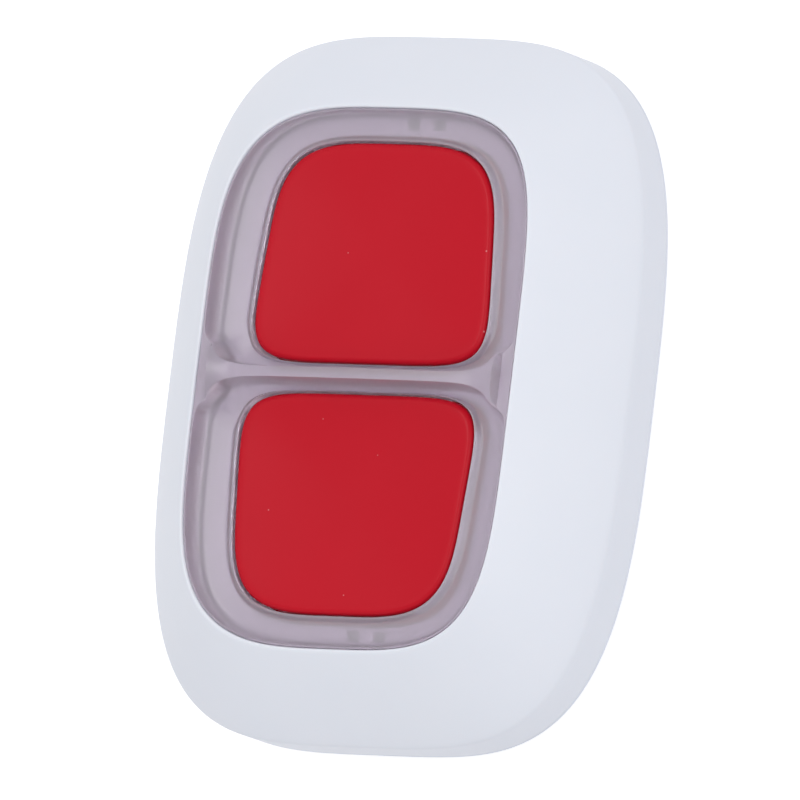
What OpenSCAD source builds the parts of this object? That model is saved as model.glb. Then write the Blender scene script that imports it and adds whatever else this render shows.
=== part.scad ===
// Wireless double panic button: a pebble-shaped casing that lies in the hand or hangs on a strap.
// The device lies on its flat back. X runs across it, Y towards the strap end, Z out of its face,
// and the origin is the centre of the flat back. All sizes are in millimetres.

/* [Body] */
// Width across the widest line
body_w = 35; // [34.6:0.1:38]
// Length along the widest line
body_l = 47; // [46.6:0.1:52]
// Height from the flat back to the top of the divider
body_h = 16; // [15.8:0.05:18]
// Exponent of the outline across its width, where 2 is an ellipse and more is squarer
outline_nx = 3.82; // [3.6:0.02:4.4]
// Exponent of the outline along its length
outline_ny = 3.18; // [3:0.02:3.8]
// Height of the widest line, where the two shells meet
parting_z = 6.4; // [6.3:0.05:6.6]
// Height of the upright band above the widest line
band_h = 3; // [2.8:0.05:3.2]
// How far the edge of the flat back lies inside the widest line
foot_inset = 5.6; // [4.8:0.1:5.8]
// Radius of the edge round the flat back
foot_round = 1.6; // [1:0.1:2]
// Exponent of the gentle bulge of both slopes, where 1 is straight
slope_bulge = 1.11; // [1.05:0.01:1.2]
// Thickness of the shells' walls
wall = 1.4; // [1.25:0.05:1.5]
// Thickness of the flat back
back_t = 1.5; // [1.2:0.05:1.6]

/* [Face] */
// Width of the opening in the face
face_w = 23.83; // [23.5:0.01:24.1]
// Length of the opening in the face
face_l = 35.72; // [35.4:0.01:36]
// Exponent of the opening across its width
face_nx = 3.49; // [3.3:0.01:3.9]
// Exponent of the opening along its length
face_ny = 4.71; // [4.3:0.01:5.2]
// How far the rim of the opening lies below the divider's top, at the sides
rim_drop = 0.6; // [0.5:0.05:0.8]
// How much lower the rim is at the two ends
end_drop = 0.95; // [0.6:0.05:1]
// Height of the lip at the sides of the opening
lip_t = 2.2; // [2.1:0.05:2.3]
// Width of the ledge behind the lip
ledge_w = 0.9; // [0.8:0.05:1]
// Thickness of the clear frame's flange behind the lip
flange_t = 1; // [0.8:0.05:1.1]
// How far the clear frame's edge lies below the rim
frame_drop = 0.25; // [0.15:0.05:0.35]
// Depth of the groove round each button below the button's edge
moat_d = 0.3; // [0.15:0.05:0.4]

/* [Divider] */
// Width of the divider's flat top
ridge_w = 0.74; // [0.6:0.02:0.9]
// How far the divider's ends stand above the rim
ridge_end_rise = 0.25; // [0.1:0.05:0.4]
// Half the width of the flare at each end of the divider
flare_w = 1.2; // [1:0.05:1.6]
// Sharpness of the flare's corner, where more is sharper
flare_sharpness = 9; // [7:0.5:12]

/* [Buttons] */
// Width of a button
button_w = 17.15; // [16.8:0.01:17.4]
// Length of a button
button_l = 14.55; // [14.3:0.01:14.7]
// Distance of a button's centre from the middle of the face
button_y = 8.29; // [8.2:0.01:8.4]
// Exponent of a button's outer end
button_n_out = 3.8; // [3.4:0.1:4.4]
// Exponent of a button's end beside the divider
button_n_in = 5.8; // [5:0.1:6.5]
// Share by which a button narrows towards its outer end
button_taper_share = 0.061; // [0.03:0.001:0.08]
// How far the buttons' tops lie below the rim at the sides
button_recess = 1.35; // [1.2:0.05:1.45]
// Depth of the hollow that guides the fingertip
button_dish = 0.22; // [0.1:0.02:0.3]
// Radius of a button's upper edge
button_round = 0.35; // [0.3:0.05:0.6]
// Thickness of a button's wall
button_wall = 1.2; // [1:0.05:1.3]
// Width of the flange that holds a button in
button_flange = 0.5; // [0.4:0.02:0.55]
// How far a button travels
travel = 0.8; // [0.5:0.05:0.9]
// Radius of a button's pushing post
post_r = 1.5; // [1.2:0.1:1.8]

/* [Battery] */
// Diameter of the coin cell
cell_d = 20; // [19.6:0.1:20.2]
// Height of the coin cell
cell_h = 3.2; // [2.8:0.1:3.2]
// Gap between the flat back and the coin cell
cell_gap = 0.6; // [0.55:0.05:0.7]
// Room for the spring contact between the coin cell and the board
contact_room = 0.9; // [0.8:0.05:1]
// Thickness of the cell holder's wall
holder_wall = 1.1; // [0.9:0.05:1.2]

/* [Board] */
// Thickness of the circuit board
board_t = 1; // [0.8:0.05:1.1]
// How far the board's edge lies inside the widest line
board_inset = 3.1; // [3:0.05:3.4]
// How far the board screws lie inside the widest line
screw_inset = 5.5; // [5.4:0.05:5.8]
// Radius of a board screw
screw_r = 0.7; // [0.6:0.05:0.8]
// Thickness of the chassis deck
deck_t = 0.7; // [0.6:0.05:0.8]
// Thickness of the button guide
guide_t = 1.7; // [1.6:0.05:1.8]

/* [Switches] */
// Width of a tactile switch
switch_w = 6; // [5.6:0.1:6.4]
// Radius of a switch's plunger
plunger_r = 1.7; // [1.5:0.05:1.8]
// Thickness of a switch's steel cover
switch_cover_t = 0.2; // [0.15:0.01:0.25]
// Thickness of the silicone sealing mat
mat_t = 0.6; // [0.5:0.05:0.7]

/* [Strap] */
// Radius of the bore for the strap
strap_r = 1.2; // [1:0.05:1.3]
// Width of the pocket behind the strap bore
strap_pocket_w = 5.6; // [5.2:0.1:6]

/* [Fits] */
// Running clearance round a moving button
button_clear = 0.15; // [0.1:0.01:0.2]
// Clearance between pieces that are fitted once
fit_clear = 0.1; // [0.06:0.01:0.14]
// Gap between faces that meet when a button is pressed
touch_gap = 0.1; // [0.06:0.01:0.12]

/* [Quality] */
// Points round each outline
around = 72; // [64:8:120]

/* [Hidden] */

// Smoothness of round pieces
$fn = 64;
// How far a cut runs past the face that it opens
over = 0.5;

// Exponent of the rim's fall towards the ends, where more keeps it level for longer
rim_power = 4;

// Levels from the face down to the deck
rim_z = body_h - rim_drop;
lip_z = rim_z - lip_t;
lens_z = lip_z - flange_t;
guide_z = lens_z - guide_t;
mat_z = guide_z - mat_t;
deck_z = mat_z - deck_t;
crease_z = parting_z + band_h;
button_z = rim_z - button_recess;
button_under_z = button_z - button_wall;
// Levels from the back up to the board
cell_z = back_t + cell_gap;
cell_top = cell_z + cell_h;
board_z = cell_top + contact_room;
board_top = board_z + board_t;
// Radii of the coin cell and of its holder's wall, and the board's end beyond the holder
cell_r = cell_d / 2;
holder_in = cell_r + 2 * fit_clear;
holder_out = holder_in + holder_wall;
board_end = body_l / 2 - board_inset;
end_room = board_end - holder_out;

// Colours
shell_white = "#E2E5EE";
button_red = "#BD222F";
frame_clear = [0.69, 0.66, 0.73, 0.75];
silicone_grey = "#8C9096";
moulding_black = "#2B2D31";
board_green = "#1F6B3F";
steel = "#C9CCD1";
gold = "#C8A24A";

// A power that keeps its sign
function spow(v, p) = sign(v) * pow(abs(v), p);
// A point of a squared oval with half sizes a and b
function oval_pt(a, b, nx, ny, t) = [a * spow(cos(t), 2 / nx), b * spow(sin(t), 2 / ny)];
// The whole squared oval
function oval(a, b, nx, ny) = [for (i = [0 : around - 1]) oval_pt(a, b, nx, ny, 360 * i / around)];
// The body's outline, drawn in by an inset
function body_oval(inset) = oval(body_w / 2 - inset, body_l / 2 - inset, outline_nx, outline_ny);
// The corner point of the body's outline, drawn in by an inset
function body_corner(inset) = oval_pt(body_w / 2 - inset, body_l / 2 - inset, outline_nx, outline_ny, 45);
// The face opening's outline, let out by a growth
function face_oval(grow) = oval(face_w / 2 + grow, face_l / 2 + grow, face_nx, face_ny);
// A value or point between two others
function mix(p, q, k) = p * (1 - k) + q * k;
// Two outlines blended point by point
function blend(ring_a, ring_b, k) = [for (i = [0 : len(ring_a) - 1]) mix(ring_a[i], ring_b[i], k)];
// A flat outline raised to a height
function lift(ring, z) = [for (p = ring) [p[0], p[1], z]];
// A step that starts and ends level
function smooth(s) = let (c = max(0, min(1, s))) c * c * (3 - 2 * c);
// The share of a slope's run that is left at a share of its rise
function slope_run(s) = pow(1 - pow(s, slope_bulge), 1 / slope_bulge);
// The opening's outline at a depth below its rim, which is lower at the ends
function rim_level(y) = rim_z - end_drop * pow(abs(y) / (face_l / 2), rim_power);
function rim_ring(grow, depth) = [for (p = face_oval(grow)) [p[0], p[1], rim_level(p[1]) - depth]];
// The triangles between two rings of n points that start at the points a and b
function band(n, a, b) = [for (i = [0 : n - 1]) let (k = (i + 1) % n)
    each [[a + i, b + i, b + k], [a + i, b + k, a + k]]];
// Every point of a list of rings
function flat(rings) = [for (r = rings) each r];

// A closed solid from a stack of rings, with a flat cap at each end
module stack_solid(rings) {
    n = len(rings[0]);
    m = len(rings);
    first_cap = [[for (i = [0 : n - 1]) i]];
    last_cap = [[for (i = [0 : n - 1]) m * n - 1 - i]];
    sides = [for (j = [0 : m - 2]) each band(n, j * n, (j + 1) * n)];
    polyhedron(points = flat(rings), faces = concat(first_cap, last_cap, sides));
}

// A closed hoop from rings that go once round its cross-section
module hoop_solid(rings) {
    n = len(rings[0]);
    m = len(rings);
    polyhedron(points = flat(rings), faces = [for (j = [0 : m - 1]) each band(n, j * n, (j + 1) % m * n)]);
}

// A plate of a given outline that stands on a level
module plate(ring, z, t) {
    translate([0, 0, z]) linear_extrude(height = t) polygon(ring);
}

// A cylinder that stands on a level
module rod(r, z, h) {
    translate([0, 0, z]) cylinder(r = r, h = h);
}

// A block centred on a point that stands on a level
module block(at, z, size) {
    translate([at[0] - size[0] / 2, at[1] - size[1] / 2, z]) cube(size);
}

// A copy at the same place in each quarter
module at_quarters(pt) {
    for (sx = [-1, 1]) {
        for (sy = [-1, 1]) {
            translate([sx * pt[0], sy * pt[1], 0]) children();
        }
    }
}

// The upper one of a mirrored pair, or the lower one
module half(upper) {
    if (upper) {
        children();
    } else {
        mirror([0, 1, 0]) children();
    }
}

// Front housing

// Gap between the frame and the opening, and between its flange and the pocket
lens_gap = fit_clear / 2;
// How far the guide's edge lies inside the frame's flange
guide_inset = 0.1;
// Depth of the small bevel on both sides of the seam
seam = 0.12;
// Width of the rounding on the rim of the opening
rim_round = 0.2;
// Shares of the slope's rise at which it has a ring
slope_shares = [0.12, 0.28, 0.46, 0.64, 0.82];
// Depth of the pocket behind the lip, before the inner slope begins
ledge_h = 0.75;
// Width and height of the tongue on the rear housing
tongue_t = 0.5;
tongue_h = 0.5;
// Height of the flat gasket above the tongue
gasket_h = 0.5;
// How far the tongue's outer side lies inside the widest line
tongue_inset = wall - tongue_t;
// Height of the ceiling above the gasket
rebate_z = parting_z + tongue_h + gasket_h + fit_clear;
// How far the inner wall's upper end lies below the crease
inner_drop = 0.5;
// Radii of a stake that holds the chassis, of its shoulder and of its melted head
stake_r = 0.55;
shoulder_r = 0.85;
stake_head_r = 0.9;
// Height of a stake's melted head
stake_head_h = 0.5;

// The slope's ring at a share of its rise
function slope_ring(s) =
    let (inner = rim_ring(0, 0), outer = lift(body_oval(0), crease_z), k = slope_run(s))
    [for (i = [0 : around - 1]) let (p = mix(inner[i], outer[i], k))
        [p[0], p[1], mix(crease_z, inner[i][2], s)]];
// The inner wall's outline at a height above its lower end, drawn in by a clearance
function inner_ring(z, clear) =
    let (foot = crease_z - inner_drop, top = lip_z - ledge_h, k = (z - foot) / (top - foot))
    blend(body_oval(wall + clear), face_oval(ledge_w - clear), k);

// The edge of the chassis, and the places of the stakes between it and the button guide
function deck_ring(clear) = inner_ring(mat_z, 3 * fit_clear + clear);
guide_grow = ledge_w - 2 * lens_gap - guide_inset;
stake_x = (deck_ring(0)[0][0] + face_w / 2 + guide_grow) / 2;
stake_y = (deck_ring(0)[around / 4][1] + face_l / 2 + guide_grow) / 2;

// Children at the four stakes, at the middle of each side and end
module at_stakes() {
    for (s = [-1, 1]) {
        translate([s * stake_x, 0, 0]) children();
        translate([0, s * stake_y, 0]) children();
    }
}

// The white upper shell: band, crease, slope, lip round the opening, and four stakes inside
module front_housing() {
    rings = concat(
        [lift(body_oval(seam), parting_z), lift(body_oval(0), parting_z + seam)],
        [lift(body_oval(0), crease_z)],
        [for (s = slope_shares) slope_ring(s)],
        [rim_ring(rim_round, rim_round / 2), rim_ring(rim_round / 2, 0)],
        [rim_ring(0, rim_round), lift(face_oval(0), lip_z)],
        [lift(face_oval(ledge_w), lip_z), lift(face_oval(ledge_w), lip_z - ledge_h)],
        [lift(body_oval(wall), crease_z - inner_drop), lift(body_oval(wall), rebate_z)],
        [lift(body_oval(tongue_inset - fit_clear), rebate_z)],
        [lift(body_oval(tongue_inset - fit_clear), parting_z)]);
    middle = [lift(body_oval(wall / 2), deck_z), lift(body_oval(wall / 2), crease_z),
        lift(face_oval(ledge_w / 2), lip_z)];
    color(shell_white) {
        hoop_solid(rings);
        intersection() {
            stack_solid(middle);
            at_stakes() rod(shoulder_r, mat_z, lip_z - mat_z);
        }
        at_stakes() {
            rod(stake_r, deck_z - over / 2, mat_z - deck_z + over);
            rod(stake_head_r, deck_z - stake_head_h, stake_head_h);
        }
    }
}

// Clear frame: rays run out from a button's centre to the face opening or to the divider's middle

// Half size of the frame's face across and along
lens_a = face_w / 2 - lens_gap;
lens_b = face_l / 2 - lens_gap;
// How much the flange stands out behind the lip
lens_flange = ledge_w - 2 * lens_gap;
// Rays to the opening and rays to the divider, for one button
rays_out = around * 5 / 8;
rays_in = around / 4;
rays = rays_out + rays_in;
// Angle below the horizontal at which a ray meets the divider's end
corner_angle = atan2(button_y, lens_a);
// Width of the narrow edge outside the frame's wall
edge_w = 0.12;
// Rounding of the collar's inner edge
collar_round = 0.1;
// A length longer than any ray, and the halvings that find a ray's end
far = 2 * body_l;
halvings = 28;
// Shares of the way from the button's hole to the wall's top, and the bowl's shares of rise there
bowl_shares = [0.4, 0.62, 0.8, 0.92, 1];
bowl_rise_shares = [0.02, 0.05, 0.14, 0.44, 1];
// Shares of that way taken by the collar and the groove
collar_share = 0.1;
groove_share = 0.2;

// The length at which a ray leaves a shape, found by halving
function leave(inside, lo, hi, n) = let (m = (lo + hi) / 2) n == 0 ? m :
    inside(m) ? leave(inside, m, hi, n - 1) : leave(inside, lo, m, n - 1);
// How far out a point lies on a squared oval, where 1 is its edge
function oval_level(x, y, a, b, nx, ny) = pow(abs(x / a), nx) + pow(abs(y / b), ny);
// Half the width and exponent of a grown button at a height y from its centre
function button_half_w(y, grow) =
    (button_w / 2 + grow) * (1 - button_taper_share * y / (button_l / 2 + grow));
function button_n(y) = y > 0 ? button_n_out : button_n_in;
// How far out a point lies on a grown button
function button_level(x, y, grow) =
    oval_level(x, y, button_half_w(y, grow), button_l / 2 + grow, button_n(y), button_n(y));
// The direction of a ray
function ray_angle(i) = i <= rays_out ? mix(-corner_angle, 180 + corner_angle, i / rays_out) :
    mix(180 + corner_angle, 360 - corner_angle, (i - rays_out) / rays_in);
// Whether a ray ends on the divider's middle line, between its ends or at one of them
function ray_inner(i) = i > rays_out;
function ray_corner(i) = i == 0 || i == rays_out;
// The lengths of a ray to the button's hole, the opening, and a line at a height y
function ray_hole(d) =
    leave(function (r) button_level(r * d[0], r * d[1], button_clear) < 1, 0, far, halvings);
function in_face(p, grow) = oval_level(p[0], p[1], lens_a + grow, lens_b + grow, face_nx, face_ny) < 1;
function ray_face(d, grow) =
    leave(function (r) in_face([r * d[0], button_y + r * d[1]], grow), 0, far, halvings);
function ray_line(d, y) = d[1] < 0 ? min(far, (button_y - y) / -d[1]) : far;
// The smaller of two lengths, with a soft change from one to the other
function soft_min(a, b) = pow(pow(a, -flare_sharpness) + pow(b, -flare_sharpness), -1 / flare_sharpness);
// Height of the divider's top at a distance from its middle
function ridge_z(x) = mix(body_h, rim_z + ridge_end_rise, pow(x / lens_a, 2));
// Height of the frame's upper edge at a point: the divider's near it, and else just below the rim
function crest_z(x, y) = mix(rim_level(y) - frame_drop, ridge_z(x), smooth((2 * flare_w - abs(y)) / flare_w));
// A flat point raised to a height
function lift_pt(p, z) = [p[0], p[1], z];
// The point of a ray at a length and height
function ray_pt(d, r, z) = [r * d[0], button_y + r * d[1], z];

// The points of one ray, from the bottom of the hole over the bowl to the edge and the flange
function ray_points(i) =
    let (
        t = ray_angle(i),
        d = [cos(t), sin(t)],
        hole = ray_hole(d),
        face = ray_face(d, 0),
        top = soft_min(face - edge_w, ray_line(d, ridge_w / 2)),
        middle = ray_inner(i) || ray_corner(i),
        edge = middle ? [button_y / tan(-t), 0] : [face * d[0], button_y + face * d[1]],
        flange = ray_face(d, lens_flange),
        brim = ray_corner(i) ? edge + [sign(d[0]) * lens_flange, 0] :
            [flange * d[0], button_y + flange * d[1]],
        top_xy = [top * d[0], button_y + top * d[1]],
        moat_z = button_z - moat_d,
        top_z = crest_z(top_xy[0], top_xy[1])
    )
    concat(
        [ray_pt(d, hole, lens_z), ray_pt(d, hole, button_z - collar_round)],
        [for (s = [collar_share / 2, collar_share]) ray_pt(d, mix(hole, top, s), button_z)],
        [ray_pt(d, mix(hole, top, groove_share), moat_z)],
        [for (k = [0 : len(bowl_shares) - 1])
            ray_pt(d, mix(hole, top, bowl_shares[k]), mix(moat_z, top_z, bowl_rise_shares[k]))],
        [[edge[0], edge[1], crest_z(edge[0], edge[1])]],
        ray_inner(i) ? [[edge[0], 0, lens_z], [0, 0, lens_z], [0, 0, lens_z]] :
        [lift_pt(edge, lip_z - lens_gap), lift_pt(brim, lip_z - lens_gap), lift_pt(brim, lens_z)]);

// Points on a ray, and the place of its edge and of its flange's lower corner among them
ray_len = 14;
edge_j = 10;
// The number of a point: what lies on the middle line is shared by both halves
function shared_pt(k, j) = j >= edge_j && (ray_inner(k) || ray_corner(k));
function pt_no(h, i, j) =
    let (k = i % rays) (h == 1 && shared_pt(k, j) ? 0 : h * rays * ray_len) + k * ray_len + j;
// The last point of a ray, from which the bottom face starts
function brim_j(i) = ray_inner(i % rays) ? edge_j + 1 : ray_len - 1;
// Two triangles over four points, turned over for the mirrored half
function patch(h, a, b, c, d) = h == 0 ? [[a, d, c], [a, c, b]] : [[a, c, d], [a, b, c]];
// The faces between ray i and the next
function ray_faces(h, i) =
    let (
        last = (ray_inner(i) || i == rays_out) ? edge_j - 1 : ray_len - 2,
        a = function (j) pt_no(h, i, j),
        b = function (j) pt_no(h, i + 1, j)
    )
    [for (j = [0 : last]) each patch(h, a(j), a(j + 1), b(j + 1), b(j)),
        each patch(h, a(brim_j(i)), a(0), b(0), b(brim_j(i + 1)))];

// The clear frame: a bowl and a collar round each button, and the flared divider between them
module lens_frame() {
    upper = [for (i = [0 : rays - 1]) each ray_points(i)];
    lower = [for (p = upper) [p[0], -p[1], p[2]]];
    faces = [for (h = [0, 1]) for (i = [0 : rays - 1]) each ray_faces(h, i)];
    color(frame_clear) polyhedron(points = concat(upper, lower), faces = faces);
}

// Light pipes and indicator lights

// Places of the two pipes at each end: across, and how far inside the opening's end
pipe_x = [0.9, 2.9];
upper_pipe_inset = 0.71;
lower_pipe_inset = 0.96;
// Width of a pipe and of the light under it
pipe_w = 0.8;
led_w = 0.9;
led_h = 0.6;

// Children at each of the four pipes
module at_pipes() {
    for (x = pipe_x) {
        translate([x, face_l / 2 - upper_pipe_inset, 0]) children();
        translate([x, lower_pipe_inset - face_l / 2, 0]) children();
    }
}

// Openings for the pipes, through a layer that starts at a level
module pipe_holes(z, t) {
    side = pipe_w + fit_clear;
    at_pipes() block([0, 0], z - over, [side, side, t + 2 * over]);
}

// Square clear rods that bring each light up to the frame
module light_pipes() {
    foot = board_top + led_h + touch_gap;
    color(frame_clear) at_pipes() block([0, 0], foot, [pipe_w, pipe_w, lens_z - foot]);
}

// The lights under the pipes
module indicator_leds() {
    color("#F2EFD8") at_pipes() block([0, 0], board_top, [led_w, led_w, led_h]);
}

// Button guide, sealing mat and bellows

// Radius of the mat's windows, in which the bellows sit
bellows_r = 5.5;
// Width of the bellows' flat foot and thickness of its web
bellows_foot = 0.9;
web_t = 0.4;
// Radius and height of the pad under a button's post
pad_r = 2.2;
pad_h = 0.8;
// How far the pad's underside lies above the deck
pad_rise = 0.3;
pad_z = mat_z + pad_rise;
pad_top = pad_z + pad_h;

// The upper button's outline, let out by a growth
function button_oval(grow) = [for (i = [0 : around - 1])
    let (
        t = 360 * i / around,
        e = 2 / button_n(sin(t)),
        y = (button_l / 2 + grow) * spow(sin(t), e)
    )
    [button_half_w(y, grow) * spow(cos(t), e), y]];
// The outline in its place
function placed(ring) = [for (p = ring) [p[0], p[1] + button_y]];

// The plate under the frame, with a window for each button's flange
module button_guide() {
    window = placed(button_oval(button_flange + button_clear));
    color(moulding_black) difference() {
        plate(face_oval(guide_grow), guide_z, guide_t);
        for (upper = [true, false]) {
            half(upper) plate(window, guide_z - over, guide_t + 2 * over);
        }
        pipe_holes(guide_z, guide_t);
    }
}

// The silicone sheet clamped between the guide and the deck
module sealing_mat() {
    color(silicone_grey) difference() {
        plate(face_oval(guide_grow), mat_z, mat_t);
        for (sy = [-1, 1]) {
            translate([0, sy * button_y, 0]) rod(bellows_r, mat_z - over, mat_t + 2 * over);
        }
        pipe_holes(mat_z, mat_t);
    }
}

// The thin dome with a pad that keeps water out and passes on the push
module bellows_body() {
    rim = bellows_r - lens_gap;
    foot = rim - bellows_foot;
    outline = [[0, pad_z], [pad_r, pad_z], [pad_r, pad_top - web_t], [foot, mat_z],
        [rim, mat_z], [rim, guide_z], [foot + web_t / 2, guide_z],
        [pad_r + web_t / 2, pad_top], [0, pad_top]];
    rotate_extrude() polygon(outline);
}

module upper_bellows() {
    color(silicone_grey) translate([0, button_y, 0]) bellows_body();
}

module lower_bellows() {
    color(silicone_grey) translate([0, -button_y, 0]) bellows_body();
}

// Buttons

// Level of a button's lower edge and of the top of its flange
button_foot_z = guide_z + travel + 2 * touch_gap;
button_flange_z = lens_z - touch_gap;
// Angles of the rings of the rounded upper edge
edge_angles = [0, 30, 60, 90];
// Shares of a button's size at which the dished top has a ring
dish_shares = [0.8, 0.6, 0.4, 0.2, 0.05];
// Width and height of the ribs from the post to the walls
rib_w = 0.7;
rib_h = 0.5;

// A ring of the dished top at a share of the size
function dish_ring(s) = lift([for (p = placed(button_oval(-button_round))) mix([0, button_y], p, s)],
    button_z - button_dish * (1 - s * s));

// A hollow red cap with a flange below, a dished top, a post and two ribs
module button_body() {
    rings = concat(
        [lift(placed(button_oval(-button_wall)), button_under_z)],
        [lift(placed(button_oval(-button_wall)), button_foot_z)],
        [lift(placed(button_oval(button_flange)), button_foot_z)],
        [lift(placed(button_oval(button_flange)), button_flange_z)],
        [lift(placed(button_oval(0)), button_flange_z)],
        [for (a = edge_angles) lift(placed(button_oval(-button_round * (1 - cos(a)))),
            button_z - button_round * (1 - sin(a)))],
        [for (s = dish_shares) dish_ring(s)]);
    skin = button_under_z + (button_wall - button_dish) / 2;
    post_z = pad_top + touch_gap;
    span = button_l - button_wall;
    union() {
        stack_solid(rings);
        translate([0, button_y, 0]) rod(post_r, post_z, skin - post_z);
        block([0, button_y], button_under_z - rib_h, [span, rib_w, skin - button_under_z + rib_h]);
        block([0, button_y], button_under_z - rib_h, [rib_w, span, skin - button_under_z + rib_h]);
    }
}

module upper_button() {
    color(button_red) button_body();
}

module lower_button() {
    color(button_red) mirror([0, 1, 0]) button_body();
}

// Chassis

// Thickness and height of the rib under the deck's edge
deck_rib_t = 0.8;
deck_rib_h = 1.1;
// Radius of the windows over the switches
switch_window_r = 3;
// Radius of the screw bosses, and the length of a screw's shank past the board
boss_r = 1.6;
screw_len = 2;

// The black deck that carries the mat and the board
module chassis() {
    screw_at = body_corner(screw_inset);
    color(moulding_black) difference() {
        union() {
            plate(deck_ring(0), deck_z, deck_t);
            difference() {
                plate(deck_ring(0), deck_z - deck_rib_h, deck_rib_h + deck_t / 2);
                plate(deck_ring(deck_rib_t), deck_z - deck_rib_h - over, deck_rib_h + deck_t + over);
            }
            at_quarters(screw_at) rod(boss_r, board_top, deck_z - board_top + deck_t / 2);
        }
        at_stakes() {
            rod(stake_r + fit_clear / 2, deck_z - over, deck_t + 2 * over);
            rod(stake_head_r + fit_clear, deck_z - deck_rib_h - over, deck_rib_h + over);
        }
        at_quarters(screw_at) rod(screw_r + fit_clear / 4, board_top - over, screw_len + fit_clear + over);
        for (sy = [-1, 1]) {
            translate([0, sy * button_y, 0]) rod(switch_window_r, deck_z - over, deck_t + 2 * over);
        }
        pipe_holes(deck_z, deck_t);
    }
}

// Circuit board and its screws

// Radius, height and drive slot of a screw's head
head_r = 1.3;
head_h = 0.7;
slot_w = 0.3;
slot_l = 1.6;
slot_d = 0.35;

module circuit_board() {
    color(board_green) difference() {
        plate(body_oval(board_inset), board_z, board_t);
        at_quarters(body_corner(screw_inset)) rod(screw_r + fit_clear, board_z - over, board_t + 2 * over);
    }
}

// Four small screws with a crossed slot
module board_screws() {
    color(steel) at_quarters(body_corner(screw_inset)) difference() {
        union() {
            rod(head_r, board_z - head_h, head_h);
            rod(screw_r, board_z - head_h / 2, head_h / 2 + board_t + screw_len);
        }
        block([0, 0], board_z - head_h - over, [slot_l, slot_w, slot_d + over]);
        block([0, 0], board_z - head_h - over, [slot_w, slot_l, slot_d + over]);
    }
}

// Tactile switches

// How far a plunger stands out of its cover beyond the travel
plunger_spare = 0.2;
// Width and height of the collar that keeps a plunger in
plunger_collar = 0.4;
plunger_collar_h = 0.4;
// Bevel of a plunger's tip
plunger_bevel = 0.2;
// Width of the wall round the switch's well
well_gap = 0.3;
plunger_tip = pad_z - touch_gap;
switch_top = plunger_tip - travel - plunger_spare;
switch_cover_z = switch_top - switch_cover_t;
collar_z = switch_cover_z - touch_gap / 2 - plunger_collar_h;
well_z = collar_z - travel - touch_gap / 2;
well_r = plunger_r + plunger_collar + well_gap;
// Thickness of the snap dome
dome_t = 0.1;
// Width, length and thickness of a terminal
terminal_w = 0.7;
terminal_l = 1.1;
terminal_t = 0.15;
// How high a terminal climbs the switch's side
terminal_h = 0.7;
// Side tabs of the cover
tab_w = 2;
tab_h = 0.9;

// Base with a round well
module switch_base_body() {
    difference() {
        block([0, button_y], board_top, [switch_w, switch_w, switch_cover_z - board_top]);
        translate([0, button_y, 0]) rod(well_r, well_z, switch_cover_z - well_z + over);
    }
}

// Four bent feet, two at each side
module terminals_body() {
    side = switch_w / 2 + fit_clear / 4;
    for (sx = [-1, 1]) {
        for (sy = [-1, 1]) {
            translate([sx * (side + terminal_l / 2), button_y + sy * switch_w / 3, 0]) union() {
                block([0, 0], board_top, [terminal_l, terminal_w, terminal_t]);
                block([-sx * (terminal_l - terminal_t) / 2, 0], board_top,
                    [terminal_t, terminal_w, terminal_h]);
            }
        }
    }
}

// A shallow steel dome under the plunger, as thick as its sheet
module snap_dome_body() {
    rise = collar_z - touch_gap / 2 - well_z;
    reach = well_r - fit_clear;
    steps = 6;
    outer = [for (i = [0 : steps]) [reach * sin(90 * i / steps), well_z + rise * cos(90 * i / steps)]];
    inner = [for (i = [0 : steps])
        [(reach - dome_t) * cos(90 * i / steps), well_z + (rise - dome_t) * sin(90 * i / steps)]];
    translate([0, button_y, 0]) rotate_extrude() polygon(concat(outer, inner));
}

// The steel plate that closes the switch, with a tab down each side
module switch_cover_body() {
    side = switch_w / 2 + switch_cover_t / 2 + fit_clear / 4;
    width = 2 * side + switch_cover_t;
    union() {
        difference() {
            block([0, button_y], switch_cover_z, [switch_w, width, switch_cover_t]);
            translate([0, button_y, 0])
                rod(plunger_r + fit_clear / 2, switch_cover_z - over, switch_cover_t + 2 * over);
        }
        for (sy = [-1, 1]) {
            block([0, button_y + sy * side], switch_cover_z - tab_h,
                [tab_w, switch_cover_t, tab_h + switch_cover_t / 2]);
        }
    }
}

// The round plunger with its collar and bevelled tip
module plunger_body() {
    collar_r = plunger_r + plunger_collar;
    collar_top = collar_z + plunger_collar_h;
    outline = [[0, collar_z], [collar_r, collar_z], [collar_r, collar_top], [plunger_r, collar_top],
        [plunger_r, plunger_tip - plunger_bevel], [plunger_r - plunger_bevel, plunger_tip],
        [0, plunger_tip]];
    translate([0, button_y, 0]) rotate_extrude() polygon(outline);
}

module upper_switch_base() {
    color(moulding_black) switch_base_body();
}

module lower_switch_base() {
    color(moulding_black) mirror([0, 1, 0]) switch_base_body();
}

module upper_switch_terminals() {
    color(steel) terminals_body();
}

module lower_switch_terminals() {
    color(steel) mirror([0, 1, 0]) terminals_body();
}

module upper_snap_dome() {
    color(steel) snap_dome_body();
}

module lower_snap_dome() {
    color(steel) mirror([0, 1, 0]) snap_dome_body();
}

module upper_switch_cover() {
    color(steel) switch_cover_body();
}

module lower_switch_cover() {
    color(steel) mirror([0, 1, 0]) switch_cover_body();
}

module upper_plunger() {
    color(moulding_black) plunger_body();
}

module lower_plunger() {
    color(moulding_black) mirror([0, 1, 0]) plunger_body();
}

// Parts on the board

// The place along the board that lies at a share of the room between the holder and the board's end
function end_y(share) = holder_out + share * end_room;
// Antenna strip: its share of that room, its length, width, thickness and height
antenna_share = 0.81;
antenna_l = 15;
antenna_w = 0.9;
antenna_t = 0.25;
antenna_h = 1;
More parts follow.
